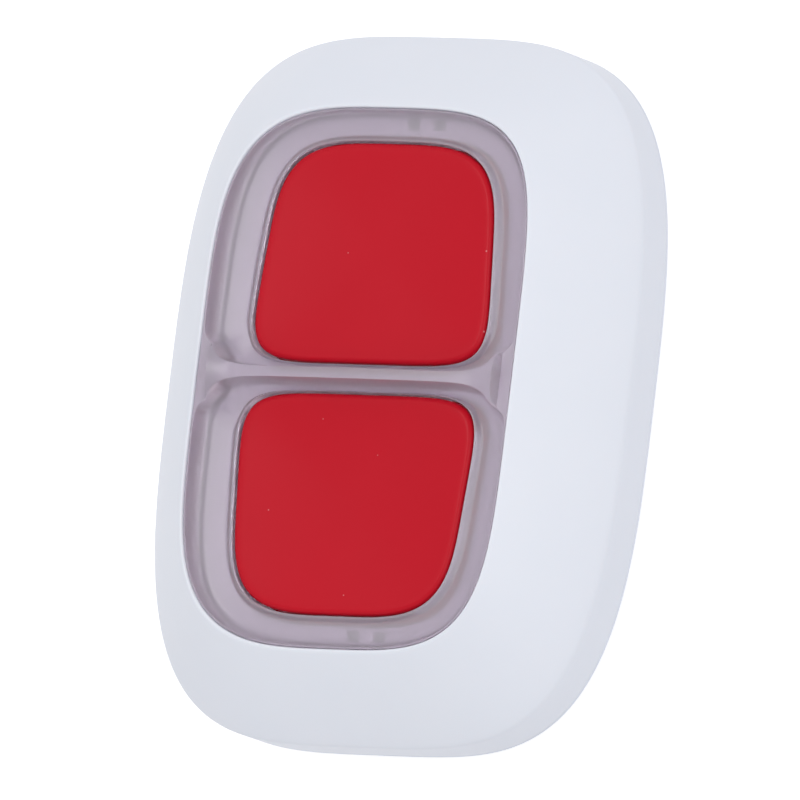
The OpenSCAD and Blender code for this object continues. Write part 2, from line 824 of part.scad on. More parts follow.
// Radio shield: its place across, its shares of the room, its width, height and sheet
shield_x = -4.7;
shield_share = 0.46;
shield_length_share = 0.61;
shield_w = 8;
shield_h = 1.5;
shield_t = 0.2;
// Processor, crystal and the rows of small parts
processor_x = 4.2;
processor_share = 0.47;
processor_size = [4.6, 4.6, 0.9];
crystal_x = 6.6;
crystal_share = 0.3;
crystal_size = [2.5, 2, 0.7];
chip_size = [0.45, 1, 0.35];
chip_pitch = 0.75;
chips_x = 6.9;
chips_share = 0.61;
chips_top_x = -8;
chips_top_share = 0.14;
chip_count = 3;

// A bent steel strip on two legs above the board
module antenna() {
    leg_x = (antenna_l - antenna_t) / 2;
    y = end_y(antenna_share);
    color(steel) union() {
        block([0, y], board_top + antenna_h - antenna_t, [antenna_l, antenna_w, antenna_t]);
        for (sx = [-1, 1]) {
            block([sx * leg_x, y], board_top, [antenna_t, antenna_w, antenna_h]);
        }
    }
}

// A pressed can over the radio, open towards the board
module radio_shield() {
    at = [shield_x, -end_y(shield_share)];
    l = shield_length_share * end_room;
    color(steel) difference() {
        block(at, board_z - shield_h, [shield_w, l, shield_h]);
        block(at, board_z - shield_h + shield_t, [shield_w - 2 * shield_t, l - 2 * shield_t, shield_h]);
    }
}

module processor() {
    color(moulding_black)
        block([processor_x, -end_y(processor_share)], board_z - processor_size[2], processor_size);
}

module crystal() {
    color(steel) block([crystal_x, end_y(crystal_share)], board_z - crystal_size[2], crystal_size);
}

// Two rows of small parts, one at each end of the board
module chip_parts() {
    starts = [[chips_x, -end_y(chips_share)], [chips_top_x, end_y(chips_top_share)]];
    color("#B9A582") for (at = starts) {
        for (i = [0 : chip_count - 1]) {
            block(at + [i * chip_pitch, 0], board_z - chip_size[2], chip_size);
        }
    }
}

// Coin cell, holder and contacts

// Thickness of the cell's steel can
can_t = 0.25;
// Height of the can's wall, as a share of the cell
can_share = 0.86;
// How far the crimped edge leans in
crimp = 0.5;
// Thickness of the plastic ring between can and cap
cell_seal_t = 0.5;
// Sheet thickness, width and reach of the contacts
contact_t = 0.25;
contact_w = 5;
contact_reach = 2;
contact_foot = 1.2;
// Width of the slots in the holder's wall
holder_slot_w = 5.6;
// Width of the holder's floor under the cell's edge
holder_floor_w = 2.4;
// Height of the cell that the holder's wall leaves free
holder_low = 0.8;
can_h = cell_h * can_share;

// The steel cup of the cell, with its edge crimped in
module cell_can() {
    inner_r = cell_r - can_t;
    can_top = cell_z + can_h;
    outline = [[0, cell_z], [cell_r, cell_z], [cell_r, can_top - crimp], [cell_r - crimp, can_top],
        [inner_r - crimp, can_top - can_t / 2], [inner_r, can_top - crimp - can_t / 2],
        [inner_r, cell_z + can_t], [0, cell_z + can_t]];
    color(steel) rotate_extrude() polygon(outline);
}

// The ring that seals the cap in the can
module cell_gasket() {
    seal_r = cell_r - can_t - touch_gap / 5;
    seal_top = cell_z + can_h - crimp - can_t;
    color("#3A3C40") difference() {
        rod(seal_r, cell_z + can_t, seal_top - cell_z - can_t);
        rod(seal_r - cell_seal_t, cell_z - over, cell_h + over);
    }
}

// The round cap that stands out of the can
module cell_cap() {
    cap_r = cell_r - can_t - cell_seal_t - 2 * touch_gap / 5;
    neck_r = cap_r - crimp;
    foot = cell_z + 2 * can_t;
    color(steel) rotate_extrude() polygon([[0, cell_top - can_t], [neck_r - can_t, cell_top - can_t],
        [cap_r - can_t, cell_z + can_h - crimp - 2 * can_t], [cap_r - can_t, foot], [cap_r, foot],
        [cap_r, cell_z + can_h - crimp - can_t], [neck_r, cell_top], [0, cell_top]]);
}

// The packed electrodes inside
module cell_filling() {
    fill_r = cell_r - can_t - cell_seal_t - 2 * can_t - touch_gap;
    color("#6E7074") rod(fill_r, cell_z + can_t, can_h - crimp - 3 * can_t);
}

// The ring-shaped holder with a floor under the cell's edge, two contact slots and a finger gap
module cell_holder() {
    wall_z = cell_z + holder_low;
    floor_z = cell_top + touch_gap;
    color(moulding_black) difference() {
        rod(holder_out, wall_z, board_z - wall_z);
        rod(holder_in, wall_z - over, floor_z - wall_z + over);
        rod(holder_in - holder_floor_w, wall_z - over, board_z - wall_z + 2 * over);
        for (sx = [-1, 1]) {
            block([sx * holder_out, 0], wall_z - over,
                [2 * (holder_wall + over), holder_slot_w, board_z - wall_z + 2 * over]);
        }
        block([0, -holder_out], wall_z - over,
            [holder_slot_w, 2 * (holder_wall + over), floor_z - wall_z + over]);
    }
}

// Two spring hooks that reach round the cell's edge to its back
module positive_contacts() {
    leg_x = holder_in + contact_t / 2;
    hook_z = cell_z - touch_gap - contact_t;
    color(gold) for (sx = [-1, 1]) {
        union() {
            block([sx * leg_x, 0], hook_z, [contact_t, contact_w, board_z - hook_z]);
            block([sx * (leg_x - contact_reach / 2), 0], hook_z, [contact_reach, contact_w, contact_t]);
            block([sx * (leg_x + contact_foot / 2), 0], board_z - contact_t,
                [contact_foot, contact_w, contact_t]);
        }
    }
}

// A leaf that springs from the board down to the cell's cap
module negative_contact() {
    foot = contact_foot;
    reach = contact_reach;
    low = cell_top + touch_gap;
    top = board_z;
    under = board_z - contact_t;
    dip = reach / 2;
    profile = [[-reach - foot, under], [-reach, under], [-dip, low], [dip, low], [reach, under],
        [reach + foot, under], [reach + foot, top], [reach - contact_t / 2, top],
        [dip - contact_t / 2, low + contact_t], [-dip + contact_t / 2, low + contact_t],
        [-reach + contact_t / 2, top], [-reach - foot, top]];
    color(gold) translate([0, contact_w / 2, 0]) rotate([90, 0, 0])
        linear_extrude(height = contact_w) polygon(profile);
}

// Rear housing and its gasket

// Shares of the lower slope's fall at which it has a ring
fall_shares = [0.2, 0.4, 0.6, 0.8];
// Angle of the slope where it meets the rounded edge of the flat back, and the rings up to it
foot_lean = 39;
foot_angles = [for (k = [0 : 3]) foot_lean * k / 3];
foot_top = foot_round * (1 - cos(foot_lean));
// How much less the inner slope runs in than the outer one
inner_run_less = 0.9;
// How far the inner slope's upper end lies below the seam and its lower end above the floor
inner_lead = 0.4;
// Rounding of the inner floor's edge
floor_round = 0.5;
// Depth of the pocket for the strap, the wall round it and its gap from the cell holder
strap_pocket_h = 4.3;
strap_wall = 1;
strap_gap = 0.4;
// How far the pocket's end lies inside the widest line, and the height of the bore
strap_end_inset = 5.4;
strap_bore_z = 2.6;
// Start and end of the pocket along the device
pocket_start = holder_out + strap_gap + strap_wall;
pocket_end = body_l / 2 - strap_end_inset;
// Notch in which a coin opens the case: its length, height and place
notch_l = 6;
notch_h = 0.7;
notch_d = 0.6;
// Ring of ribs on the floor that keeps the cell in its holder
cradle_r = 5;
cradle_t = 0.8;

// The rear shell's outer rings from the flat back to the seam, drawn in by an inset and raised by a floor
function rear_rings(inset, floor_t) =
    let (fall = parting_z - seam - foot_top - floor_t)
    concat(
        [for (a = foot_angles) lift(body_oval(inset + foot_inset + foot_round * (sin(foot_lean) - sin(a))),
            floor_t + foot_round * (1 - cos(a)))],
        [for (k = [len(fall_shares) - 1 : -1 : 0]) let (u = fall_shares[k])
            lift(body_oval(inset + foot_inset * (1 - slope_run(u))), parting_z - seam - u * fall)],
        [lift(body_oval(inset), parting_z - seam)]);

// A block on the inside of the shell that the strap's pocket and bore are cut from
module strap_block() {
    width = strap_pocket_w + 2 * strap_wall;
    top = strap_pocket_h + strap_wall;
    intersection() {
        stack_solid(rear_rings(wall / 2, back_t / 2));
        translate([-width / 2, pocket_start - strap_wall, 0]) cube([width, body_l / 2, top]);
    }
}

// The white lower shell: flat back, sloping sides, tongue, cradle, strap bore and opening notch
module rear_housing() {
    run = foot_inset - inner_run_less;
    drop = parting_z - back_t - 2 * inner_lead;
    rings = concat(
        rear_rings(0, 0),
        [lift(body_oval(seam), parting_z), lift(body_oval(tongue_inset), parting_z)],
        [lift(body_oval(tongue_inset), parting_z + tongue_h), lift(body_oval(wall), parting_z + tongue_h)],
        [lift(body_oval(wall), parting_z - inner_lead)],
        [for (u = concat(fall_shares, [1]))
            lift(body_oval(wall + run * (1 - slope_run(u))), parting_z - inner_lead - u * drop)],
        [lift(body_oval(wall + run + floor_round), back_t)]);
    color(shell_white) difference() {
        union() {
            stack_solid(rings);
            strap_block();
            difference() {
                rod(cradle_r, back_t / 2, back_t / 2 + cell_gap - touch_gap);
                rod(cradle_r - cradle_t, back_t / 2 - over, back_t + cell_gap);
            }
        }
        translate([-strap_pocket_w / 2, pocket_start, -over])
            cube([strap_pocket_w, pocket_end - pocket_start, strap_pocket_h + over]);
        translate([0, pocket_end - over, strap_bore_z]) rotate([-90, 0, 0])
            cylinder(r = strap_r, h = body_l / 2 - pocket_end + 2 * over);
        translate([-body_w / 2 - over, -notch_l / 2, parting_z - notch_h])
            cube([notch_d + over, notch_l, notch_h + over]);
    }
}

// The flat silicone ring that the tongue presses
module rear_gasket() {
    z = parting_z + tongue_h + fit_clear / 2;
    color(silicone_grey) difference() {
        plate(body_oval(tongue_inset), z, gasket_h);
        plate(body_oval(wall), z - over, gasket_h + 2 * over);
    }
}

front_housing();
lens_frame();
light_pipes();
button_guide();
sealing_mat();
upper_bellows();
lower_bellows();
chassis();
circuit_board();
upper_switch_base();
lower_switch_base();
upper_switch_terminals();
lower_switch_terminals();
upper_snap_dome();
lower_snap_dome();
upper_switch_cover();
lower_switch_cover();
indicator_leds();
antenna();
radio_shield();
processor();
crystal();
chip_parts();
cell_holder();
cell_can();
cell_gasket();
cell_filling();
cell_cap();
positive_contacts();
negative_contact();
board_screws();
rear_gasket();
rear_housing();
upper_button();
lower_button();
upper_plunger();
lower_plunger();
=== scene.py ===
"""Looks of a wireless double panic button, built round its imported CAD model.

Every size below is in millimetres in the row frame: the device lies on its flat back, X runs across it,
Y towards the end with the strap hole and Z out of the face with the two red caps.
"""
import logging
import math
from abc import ABC, abstractmethod
from dataclasses import dataclass, field
from enum import Enum
from typing import Any, Callable, Sequence

import bmesh
import bpy
import numpy as np
from mathutils import Matrix, Vector
from numpy.typing import NDArray


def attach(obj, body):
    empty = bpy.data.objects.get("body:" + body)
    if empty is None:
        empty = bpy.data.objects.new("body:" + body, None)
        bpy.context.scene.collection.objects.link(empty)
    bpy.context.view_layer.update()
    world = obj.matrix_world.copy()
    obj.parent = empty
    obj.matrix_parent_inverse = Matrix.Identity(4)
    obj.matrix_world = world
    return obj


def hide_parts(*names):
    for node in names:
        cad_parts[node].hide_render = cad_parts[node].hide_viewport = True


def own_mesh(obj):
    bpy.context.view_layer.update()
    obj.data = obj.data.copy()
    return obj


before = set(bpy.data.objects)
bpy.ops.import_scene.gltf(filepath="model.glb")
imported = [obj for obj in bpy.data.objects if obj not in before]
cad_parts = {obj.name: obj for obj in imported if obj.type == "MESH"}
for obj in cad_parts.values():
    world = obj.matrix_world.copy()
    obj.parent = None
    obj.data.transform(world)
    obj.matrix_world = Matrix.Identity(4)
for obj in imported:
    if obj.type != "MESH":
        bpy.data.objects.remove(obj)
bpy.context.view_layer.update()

LOG = logging.getLogger("panic_button")
# One millimetre in metres.
MM = 0.001
# Points nearer to one another than this are merged.
MERGE_MM = 0.0004
# Points on a cylinder's circle.
ROD_POINTS = 64
# How often an interval is halved to find where a ray leaves a shape.
HALVINGS = 40
# The least divisor, and the largest length that counts as zero.
TINY = 1e-6
ZERO = 1e-9
Floats = NDArray[np.float64]
Ints = NDArray[np.int64]


class Half(Enum):
    """Which half of the face a cap lies on, as the sign of its Y."""

    UPPER = 1
    LOWER = -1


def linear(hex_code: str) -> tuple[float, float, float, float]:
    """Turns an sRGB hex colour into linear values.

    Args:
        hex_code: a colour such as "#E2E5EE".

    Returns:
        Red, green, blue and an alpha of one, all linear.
    """
    channels = [int(hex_code[i:i + 2], 16) / 255 for i in (1, 3, 5)]
    red, green, blue = (c / 12.92 if c <= 0.04045 else ((c + 0.055) / 1.055) ** 2.4 for c in channels)
    return red, green, blue, 1.0


def add_node(material: bpy.types.ID, kind: str, inputs: dict[Any, Any] | None = None,
             **settings: Any) -> bpy.types.Node:
    """Adds one shader node with its settings and its inputs.

    Args:
        material: the material or world that gets the node.
        kind: the node's type, such as "ShaderNodeTexNoise".
        inputs: input names or numbers, each with a value, or with an output socket that is linked to it.
        settings: the node's own properties.

    Returns:
        The new node.
    """
    tree = material.node_tree
    node = tree.nodes.new(kind)
    for key, value in settings.items():
        setattr(node, key, value)
    for key, value in (inputs or {}).items():
        if isinstance(value, bpy.types.NodeSocket):
            tree.links.new(value, node.inputs[key])
        else:
            node.inputs[key].default_value = value
    return node


def new_material(name: str) -> bpy.types.Material:
    """Makes an empty node material.

    Args:
        name: its name.

    Returns:
        The material, with no nodes.
    """
    material = bpy.data.materials.new(name)
    material.use_nodes = True
    material.node_tree.nodes.clear()
    return material


def per_metre(size_mm: float) -> float:
    """Gives the texture scale at which one feature is as wide as a size in millimetres."""
    return 1.0 / (size_mm * MM)


def shown(surface: bpy.types.ID) -> bpy.types.NodeSocket:
    """Tells the rays that show a surface from those that light the object.

    Args:
        surface: the material or world.

    Returns:
        One where the surface is seen directly, in a reflection or through glass, and zero elsewhere.
    """
    path = add_node(surface, "ShaderNodeLightPath")
    seen = add_node(surface, "ShaderNodeMath", {0: path.outputs["Is Camera Ray"], 1: path.outputs["Is Glossy Ray"]},
                    operation="MAXIMUM")
    seen = add_node(surface, "ShaderNodeMath", {0: seen.outputs[0], 1: path.outputs["Is Transmission Ray"]},
                    operation="MAXIMUM")
    return seen.outputs[0]


@dataclass(frozen=True)
class Finish(ABC):
    """What a piece is made of and how its surface was made: a name, a colour and the nodes of one material."""

    name: str
    colour: str

    @abstractmethod
    def sockets(self, m: bpy.types.Material, coords: bpy.types.NodeSocket) -> dict[str, Any]:
        """Makes the nodes before the shader in m, from the piece's coordinates, and gives the shader's inputs."""

    def build(self) -> bpy.types.Material:
        """Makes the material.

        Returns:
            The finished node material.
        """
        m = new_material(self.name)
        coords = add_node(m, "ShaderNodeTexCoord").outputs["Object"]
        shader = add_node(m, "ShaderNodeBsdfPrincipled", self.sockets(m, coords))
        add_node(m, "ShaderNodeOutputMaterial", {"Surface": shader.outputs["BSDF"]})
        return m


@dataclass(frozen=True)
class MouldedPlastic(Finish):
    """ABS or PC/ABS out of a spark-eroded mould: a fine even grain and a soft broad sheen.

    The grain of the real mould is about 0.05 mm and would vanish in the picture, so grain_mm is drawn
    as coarse as it needs to show. Cloud_mm is the size of the faint flow clouds in the colour, and
    rough_spread is how far the roughness strays with them. Light scatters up to scatter_mm deep, by the
    shares in scatter for red, green and blue. Dust is the strength of the specks, which lie dust_gap_mm
    apart and fade out between the two speck_shares of that gap.
    """

    cloud_colour: str
    roughness: float = 0.5
    ior: float = 1.5
    specular: float = 0.5
    grain_mm: float = 0.16
    grain_depth_mm: float = 0.004
    cloud_mm: float = 6.0
    rough_spread: float = 0.03
    sheen: float = 0.0
    subsurface: float = 0.0
    scatter: tuple[float, float, float] = (0.6, 0.45, 0.4)
    scatter_mm: float = 0.8
    dust: float = 0.0
    dust_colour: str = "#E9C9CC"
    dust_gap_mm: float = 2.4
    speck_shares: tuple[float, float] = (0.018, 0.03)

    def sockets(self, m: bpy.types.Material, coords: bpy.types.NodeSocket) -> dict[str, Any]:
        """Makes the nodes before the shader.

        Args:
            m: the material.
            coords: the piece's coordinates.

        Returns:
            The shader's inputs.
        """
        cloud = add_node(m, "ShaderNodeTexNoise", {
            "Vector": coords, "Scale": per_metre(self.cloud_mm), "Detail": 3.0, "Roughness": 0.5})
        colour = add_node(m, "ShaderNodeMix", {"Factor": cloud.outputs["Fac"], "A": linear(self.colour),
                                               "B": linear(self.cloud_colour)}, data_type="RGBA")
        base = colour.outputs["Result"]
        if self.dust > 0:
            base = self.dusted(m, coords, base)
        grain = add_node(m, "ShaderNodeTexNoise", {
            "Vector": coords, "Scale": per_metre(self.grain_mm), "Detail": 2.0, "Roughness": 0.6})
        rough = add_node(m, "ShaderNodeMapRange", {
            "Value": cloud.outputs["Fac"], "To Min": self.roughness - self.rough_spread,
            "To Max": self.roughness + self.rough_spread})
        bump = add_node(m, "ShaderNodeBump", {"Height": grain.outputs["Fac"], "Strength": 1.0,
                                              "Distance": self.grain_depth_mm * MM})
        return {"Base Color": base, "Roughness": rough.outputs["Result"], "Normal": bump.outputs["Normal"],
                "IOR": self.ior, "Specular IOR Level": self.specular, "Sheen Weight": self.sheen,
                "Subsurface Weight": self.subsurface, "Subsurface Radius": self.scatter,
                "Subsurface Scale": self.scatter_mm * MM}

    def dusted(self, m: bpy.types.Material, coords: bpy.types.NodeSocket,
               base: bpy.types.NodeSocket) -> bpy.types.NodeSocket:
        """Adds a few pale specks of dust: a speck is where a cell's middle is nearer than a small share of the gap.

        Args:
            m: the material.
            coords: the piece's coordinates.
            base: the clean colour.

        Returns:
            The colour with the specks.
        """
        full, none = self.speck_shares
        cells = add_node(m, "ShaderNodeTexVoronoi", {"Vector": coords, "Scale": per_metre(self.dust_gap_mm)},
                         feature="F1")
        speck = add_node(m, "ShaderNodeMapRange", {"Value": cells.outputs["Distance"], "From Min": none,
                                                   "From Max": full, "To Max": self.dust})
        mixed = add_node(m, "ShaderNodeMix", {"Factor": speck.outputs["Result"], "A": base,
                                              "B": linear(self.dust_colour)}, data_type="RGBA")
        return mixed.outputs["Result"]


@dataclass(frozen=True)
class ClearPolycarbonate(Finish):
    """Polycarbonate with a satin surface: it lets some of what lies behind show, blurred.

    Clearness is the share of light that passes through. The rest scatters inside and shows the resin's own
    colour, which drifts towards haze_colour in faint clouds of cloud_mm.
    """

    haze_colour: str
    roughness: float = 0.2
    clearness: float = 0.45
    ior: float = 1.58
    cloud_mm: float = 5.0
    grain_mm: float = 0.3
    grain_depth_mm: float = 0.002

    def sockets(self, m: bpy.types.Material, coords: bpy.types.NodeSocket) -> dict[str, Any]:
        """Makes the nodes before the shader.

        Args:
            m: the material.
            coords: the piece's coordinates.

        Returns:
            The shader's inputs.
        """
        cloud = add_node(m, "ShaderNodeTexNoise", {
            "Vector": coords, "Scale": per_metre(self.cloud_mm), "Detail": 2.0})
        colour = add_node(m, "ShaderNodeMix", {"Factor": cloud.outputs["Fac"], "A": linear(self.colour),
                                               "B": linear(self.haze_colour)}, data_type="RGBA")
        grain = add_node(m, "ShaderNodeTexNoise", {
            "Vector": coords, "Scale": per_metre(self.grain_mm), "Detail": 1.0})
        bump = add_node(m, "ShaderNodeBump", {"Height": grain.outputs["Fac"], "Strength": 1.0,
                                              "Distance": self.grain_depth_mm * MM})
        return {"Base Color": colour.outputs["Result"], "Roughness": self.roughness,
                "Normal": bump.outputs["Normal"], "IOR": self.ior, "Transmission Weight": self.clearness}


@dataclass(frozen=True)
class RolledMetal(Finish):
    """Rolled and stamped sheet, such as spring steel or plated brass: fine streaks along the rolling direction.

    Streak_mm is a streak's width, and stretch is its width as a share of its length.
    """

    roughness: float = 0.28
    rough_spread: float = 0.08
    streak_mm: float = 0.12
    streak_depth_mm: float = 0.002
    stretch: float = 0.08

    def sockets(self, m: bpy.types.Material, coords: bpy.types.NodeSocket) -> dict[str, Any]:
        """Makes the nodes before the shader.

        Args:
            m: the material.
            coords: the piece's coordinates.

        Returns:
            The shader's inputs.
        """
        stretched = add_node(m, "ShaderNodeMapping", {"Vector": coords, "Scale": (self.stretch, 1.0, 1.0)})
        streak = add_node(m, "ShaderNodeTexNoise", {"Vector": stretched.outputs["Vector"],
                                                    "Scale": per_metre(self.streak_mm), "Detail": 2.0})
        rough = add_node(m, "ShaderNodeMapRange", {
            "Value": streak.outputs["Fac"], "To Min": self.roughness - self.rough_spread,
            "To Max": self.roughness + self.rough_spread})
        bump = add_node(m, "ShaderNodeBump", {"Height": streak.outputs["Fac"], "Strength": 1.0,
                                              "Distance": self.streak_depth_mm * MM})
        return {"Base Color": linear(self.colour), "Metallic": 1.0, "Roughness": rough.outputs["Result"],
                "Normal": bump.outputs["Normal"]}


@dataclass(frozen=True)
class SolderResist(Finish):
    """Glass-fibre board under a green solder resist, with copper tracks that show a little paler.

    Track_mm is the spacing of the tracks and track_share their width as the pattern takes it, which draws
    rows_per_unit rows to one unit of its scale.
    """

    track_colour: str
    track_mm: float = 1.4
    rows_per_unit: float = 4.0
    track_share: float = 0.04
    track_depth_mm: float = 0.02
    roughness: float = 0.35
    ior: float = 1.5
    coat: float = 0.3
    coat_roughness: float = 0.15

    def sockets(self, m: bpy.types.Material, coords: bpy.types.NodeSocket) -> dict[str, Any]:
        """Makes the nodes before the shader.

        Args:
            m: the material.
            coords: the piece's coordinates.

        Returns:
            The shader's inputs.
        """
        tracks = add_node(m, "ShaderNodeTexBrick", {
            "Vector": coords, "Scale": per_metre(self.track_mm) / self.rows_per_unit,
            "Color1": (0, 0, 0, 1), "Color2": (0.2, 0.2, 0.2, 1), "Mortar": (1, 1, 1, 1),
            "Mortar Size": self.track_share})
        colour = add_node(m, "ShaderNodeMix", {"Factor": tracks.outputs["Color"], "A": linear(self.colour),
                                               "B": linear(self.track_colour)}, data_type="RGBA")
        bump = add_node(m, "ShaderNodeBump", {"Height": tracks.outputs["Color"], "Strength": 1.0,
                                              "Distance": self.track_depth_mm * MM})
        return {"Base Color": colour.outputs["Result"], "Roughness": self.roughness,
                "Normal": bump.outputs["Normal"], "IOR": self.ior, "Coat Weight": self.coat,
                "Coat Roughness": self.coat_roughness}


# White PC/ABS with a fine spark-eroded grain: nearly matt, so that slopes differ only softly in brightness.
WHITE_SHELL = MouldedPlastic("white_pc_abs", "#E4E7F0", "#E0E4EE", roughness=0.5, subsurface=0.08)
# Red ABS, the same grain, a little dust on it: a deep even red with only a weak, smooth sheen.
RED_CAP = MouldedPlastic("red_abs", "#C10D23", "#BB0B20", roughness=0.3, specular=0.13, dust=0.35)
# Clear polycarbonate with a lilac cast: the pale guide shows through it, blurred.
CLEAR_FRAME = ClearPolycarbonate("satin_polycarbonate", "#F1E9F5", "#ECE3F1", roughness=0.28, clearness=0.75)
# The same clear resin in the square light pipes, smooth, with a dark grey colour that is painted shade: seen end on,
# the shade inside the clear pipes makes them look darker and greyer than the guide.
PIPE_PAINTED_SHADE = ClearPolycarbonate("pipe_resin_painted_shade", "#5A575F", "#54515A", roughness=0.1, clearness=0.2)
# Pale lilac-grey ABS of the plate under the clear frame, matt, which gives the frame most of its colour.
GUIDE = MouldedPlastic("grey_abs", "#DDD2E0", "#D8CCDB", roughness=0.6)
# Glass-filled nylon, dull black.
BLACK_NYLON = MouldedPlastic("black_nylon", "#26282B", "#2C2E32", roughness=0.6, grain_mm=0.1)
# Silicone rubber: matt with a soft sheen at grazing angles.
SILICONE = MouldedPlastic("grey_silicone", "#8B8F95", "#83878D", roughness=0.7, sheen=0.3, grain_mm=0.25)
# Clear epoxy over the indicator chips, yellowish from the phosphor.
LED_RESIN = MouldedPlastic("phosphor_epoxy", "#F1EDCF", "#ECE6C0", roughness=0.2, grain_mm=0.3)
# Sintered ceramic of the small board parts.
CERAMIC = MouldedPlastic("sintered_ceramic", "#B8A480", "#AE9A76", roughness=0.45, grain_mm=0.1)
# Polypropylene seal of the coin cell.
CELL_SEAL = MouldedPlastic("black_polypropylene", "#2F3135", "#34363A", roughness=0.45)
# Pressed manganese dioxide powder.
ELECTRODE = MouldedPlastic("pressed_powder", "#6B6D70", "#606266", roughness=0.85, grain_mm=0.1, grain_depth_mm=0.01)
# Stainless spring steel.
STEEL = RolledMetal("stainless_steel", "#C6C9CD")
# Gold-plated spring brass.
GOLD = RolledMetal("gold_plated_brass", "#D6B263", roughness=0.22)
# Board with a green resist.
BOARD = SolderResist("green_resist_board", "#17583A", "#2B7A50")


class Workshop:
    """Keeps one material for each finish."""

    def __init__(self) -> None:
        """Starts with no materials."""
        self.made: dict[str, bpy.types.Material] = {}

    def get(self, finish: Finish) -> bpy.types.Material:
        """Gives a finish's material and makes it on first use.

        Args:
            finish: one of the finishes above.

        Returns:
            Its material.
        """
        if finish.name not in self.made:
            self.made[finish.name] = finish.build()
        return self.made[finish.name]


def once_round(count: int) -> tuple[Floats, Floats]:
    """Goes once round a circle in even steps.

    Args:
        count: how many points.

    Returns:
        The cosines and the sines, rounded so that the four outermost points are exact.
    """
    t = np.linspace(0, 2 * np.pi, count, endpoint=False)
    return np.round(np.cos(t), 12), np.round(np.sin(t), 12)


@dataclass(frozen=True)
class SquaredOval:
    """The outline on which |x/a|^nx + |y/b|^ny is one, where an exponent of two makes an ellipse."""

    half_w: float
    half_l: float
    nx: float
    ny: float

    def grown(self, by: float) -> "SquaredOval":
        """Gives the outline with both half sizes grown, or drawn in by a negative value."""
        return SquaredOval(self.half_w + by, self.half_l + by, self.nx, self.ny)

    def points(self, count: int) -> Floats:
        """Works out the outline's points.

        X is a times the cosine to the power 2/nx and y is b times the sine to the power 2/ny, and each power
        keeps the sign.

        Args:
            count: how many points, a multiple of four.

        Returns:
            An array of count by 2.
        """
        cos, sin = once_round(count)
        x = self.half_w * np.sign(cos) * np.abs(cos) ** (2 / self.nx)
        y = self.half_l * np.sign(sin) * np.abs(sin) ** (2 / self.ny)
        return np.stack([x, y], axis=1)

    def level(self, x: Floats, y: Floats) -> Floats:
        """Says how far out points lie, where one is the outline."""
        return np.abs(x / self.half_w) ** self.nx + np.abs(y / self.half_l) ** self.ny


def halve(inside: Callable[[Floats], NDArray[np.bool_]], count: int, far: float) -> Floats:
    """Finds for many rays at once the length at which each leaves a shape, by halving an interval.

    Args:
        inside: says for an array of lengths which ends are inside.
        count: how many rays.
        far: a length longer than any ray.

    Returns:
        One length for each ray.
    """
    low, high = np.zeros(count), np.full(count, far)
    for _ in range(HALVINGS):
        middle = (low + high) / 2
        within = inside(middle)
        low, high = np.where(within, middle, low), np.where(within, high, middle)
    return (low + high) / 2


def bend(start: Sequence[float], corner: Sequence[float], end: Sequence[float], count: int) -> Floats:
    """Rounds a corner with a quadratic curve: start, corner and end are weighted (1-t)^2, 2t(1-t) and t^2.

    Args:
        start: the point where the rounding begins.
        corner: the sharp corner.
        end: the point where it ends.
        count: how many points.

    Returns:
        An array of count points.
    """
    t = np.linspace(0, 1, count)[:, None]
    return (1 - t) ** 2 * np.array(start) + 2 * t * (1 - t) * np.array(corner) + t ** 2 * np.array(end)


def lifted(ring: Floats, height: float) -> Floats:
    """Raises a flat outline to a height."""
    return np.column_stack([ring, np.full(len(ring), height)])


def grid_quads(rows: int, columns: int, wrap_rows: bool) -> Ints:
    """Numbers the four-sided faces of a grid whose columns go once round.

    Face (j, i) joins the points (j, i), (j, i+1), (j+1, i+1) and (j+1, i).

    Args:
        rows: how many rings.
        columns: how many points on a ring.
        wrap_rows: whether the last ring meets the first.

    Returns:
        An array of faces by 4.
    """
    j = np.arange(rows if wrap_rows else rows - 1)[:, None]
    i = np.arange(columns)[None, :]
    k, n = (j + 1) % rows, (i + 1) % columns
    quads = np.stack([j * columns + i, j * columns + n, k * columns + n, k * columns + i], axis=-1)
    return quads.reshape(-1, 4)


def make_object(name: str, points: Floats, faces: list[list[int]]) -> bpy.types.Object:
    """Makes a mesh object whose origin is the row's origin.

    Args:
        name: the piece's name.
        points: its points in millimetres.
        faces: its faces as point numbers.

    Returns:
        The object, linked to the scene.
    """
    mesh = bpy.data.meshes.new(name)
    mesh.from_pydata((points.reshape(-1, 3) * MM).tolist(), [], faces)
    mesh.validate()
    piece = bpy.data.objects.new(name, mesh)
    bpy.context.scene.collection.objects.link(piece)
    return piece


def stack_object(name: str, rings: Floats) -> bpy.types.Object:
    """Closes a stack of rings with a pole at each end.

    Args:
        name: the piece's name.
        rings: an array of rings by points by 3, the first ring at the underside.

    Returns:
        The closed object.
    """
    rows, columns = rings.shape[:2]
    poles = np.stack([rings[0].mean(axis=0), rings[-1].mean(axis=0)])
    i = np.arange(columns)
    n = (i + 1) % columns
    end, top = rows * columns, (rows - 1) * columns
    first = np.stack([np.full(columns, end), n, i], axis=1)
    last = np.stack([np.full(columns, end + 1), top + i, top + n], axis=1)
    faces = grid_quads(rows, columns, False).tolist() + first.tolist() + last.tolist()
    return make_object(name, np.concatenate([rings.reshape(-1, 3), poles]), faces)


def hoop_object(name: str, rings: Floats) -> bpy.types.Object:
    """Closes rings that go once round a cross-section into a hoop."""
    rows, columns = rings.shape[:2]
    return make_object(name, rings, grid_quads(rows, columns, True).tolist())


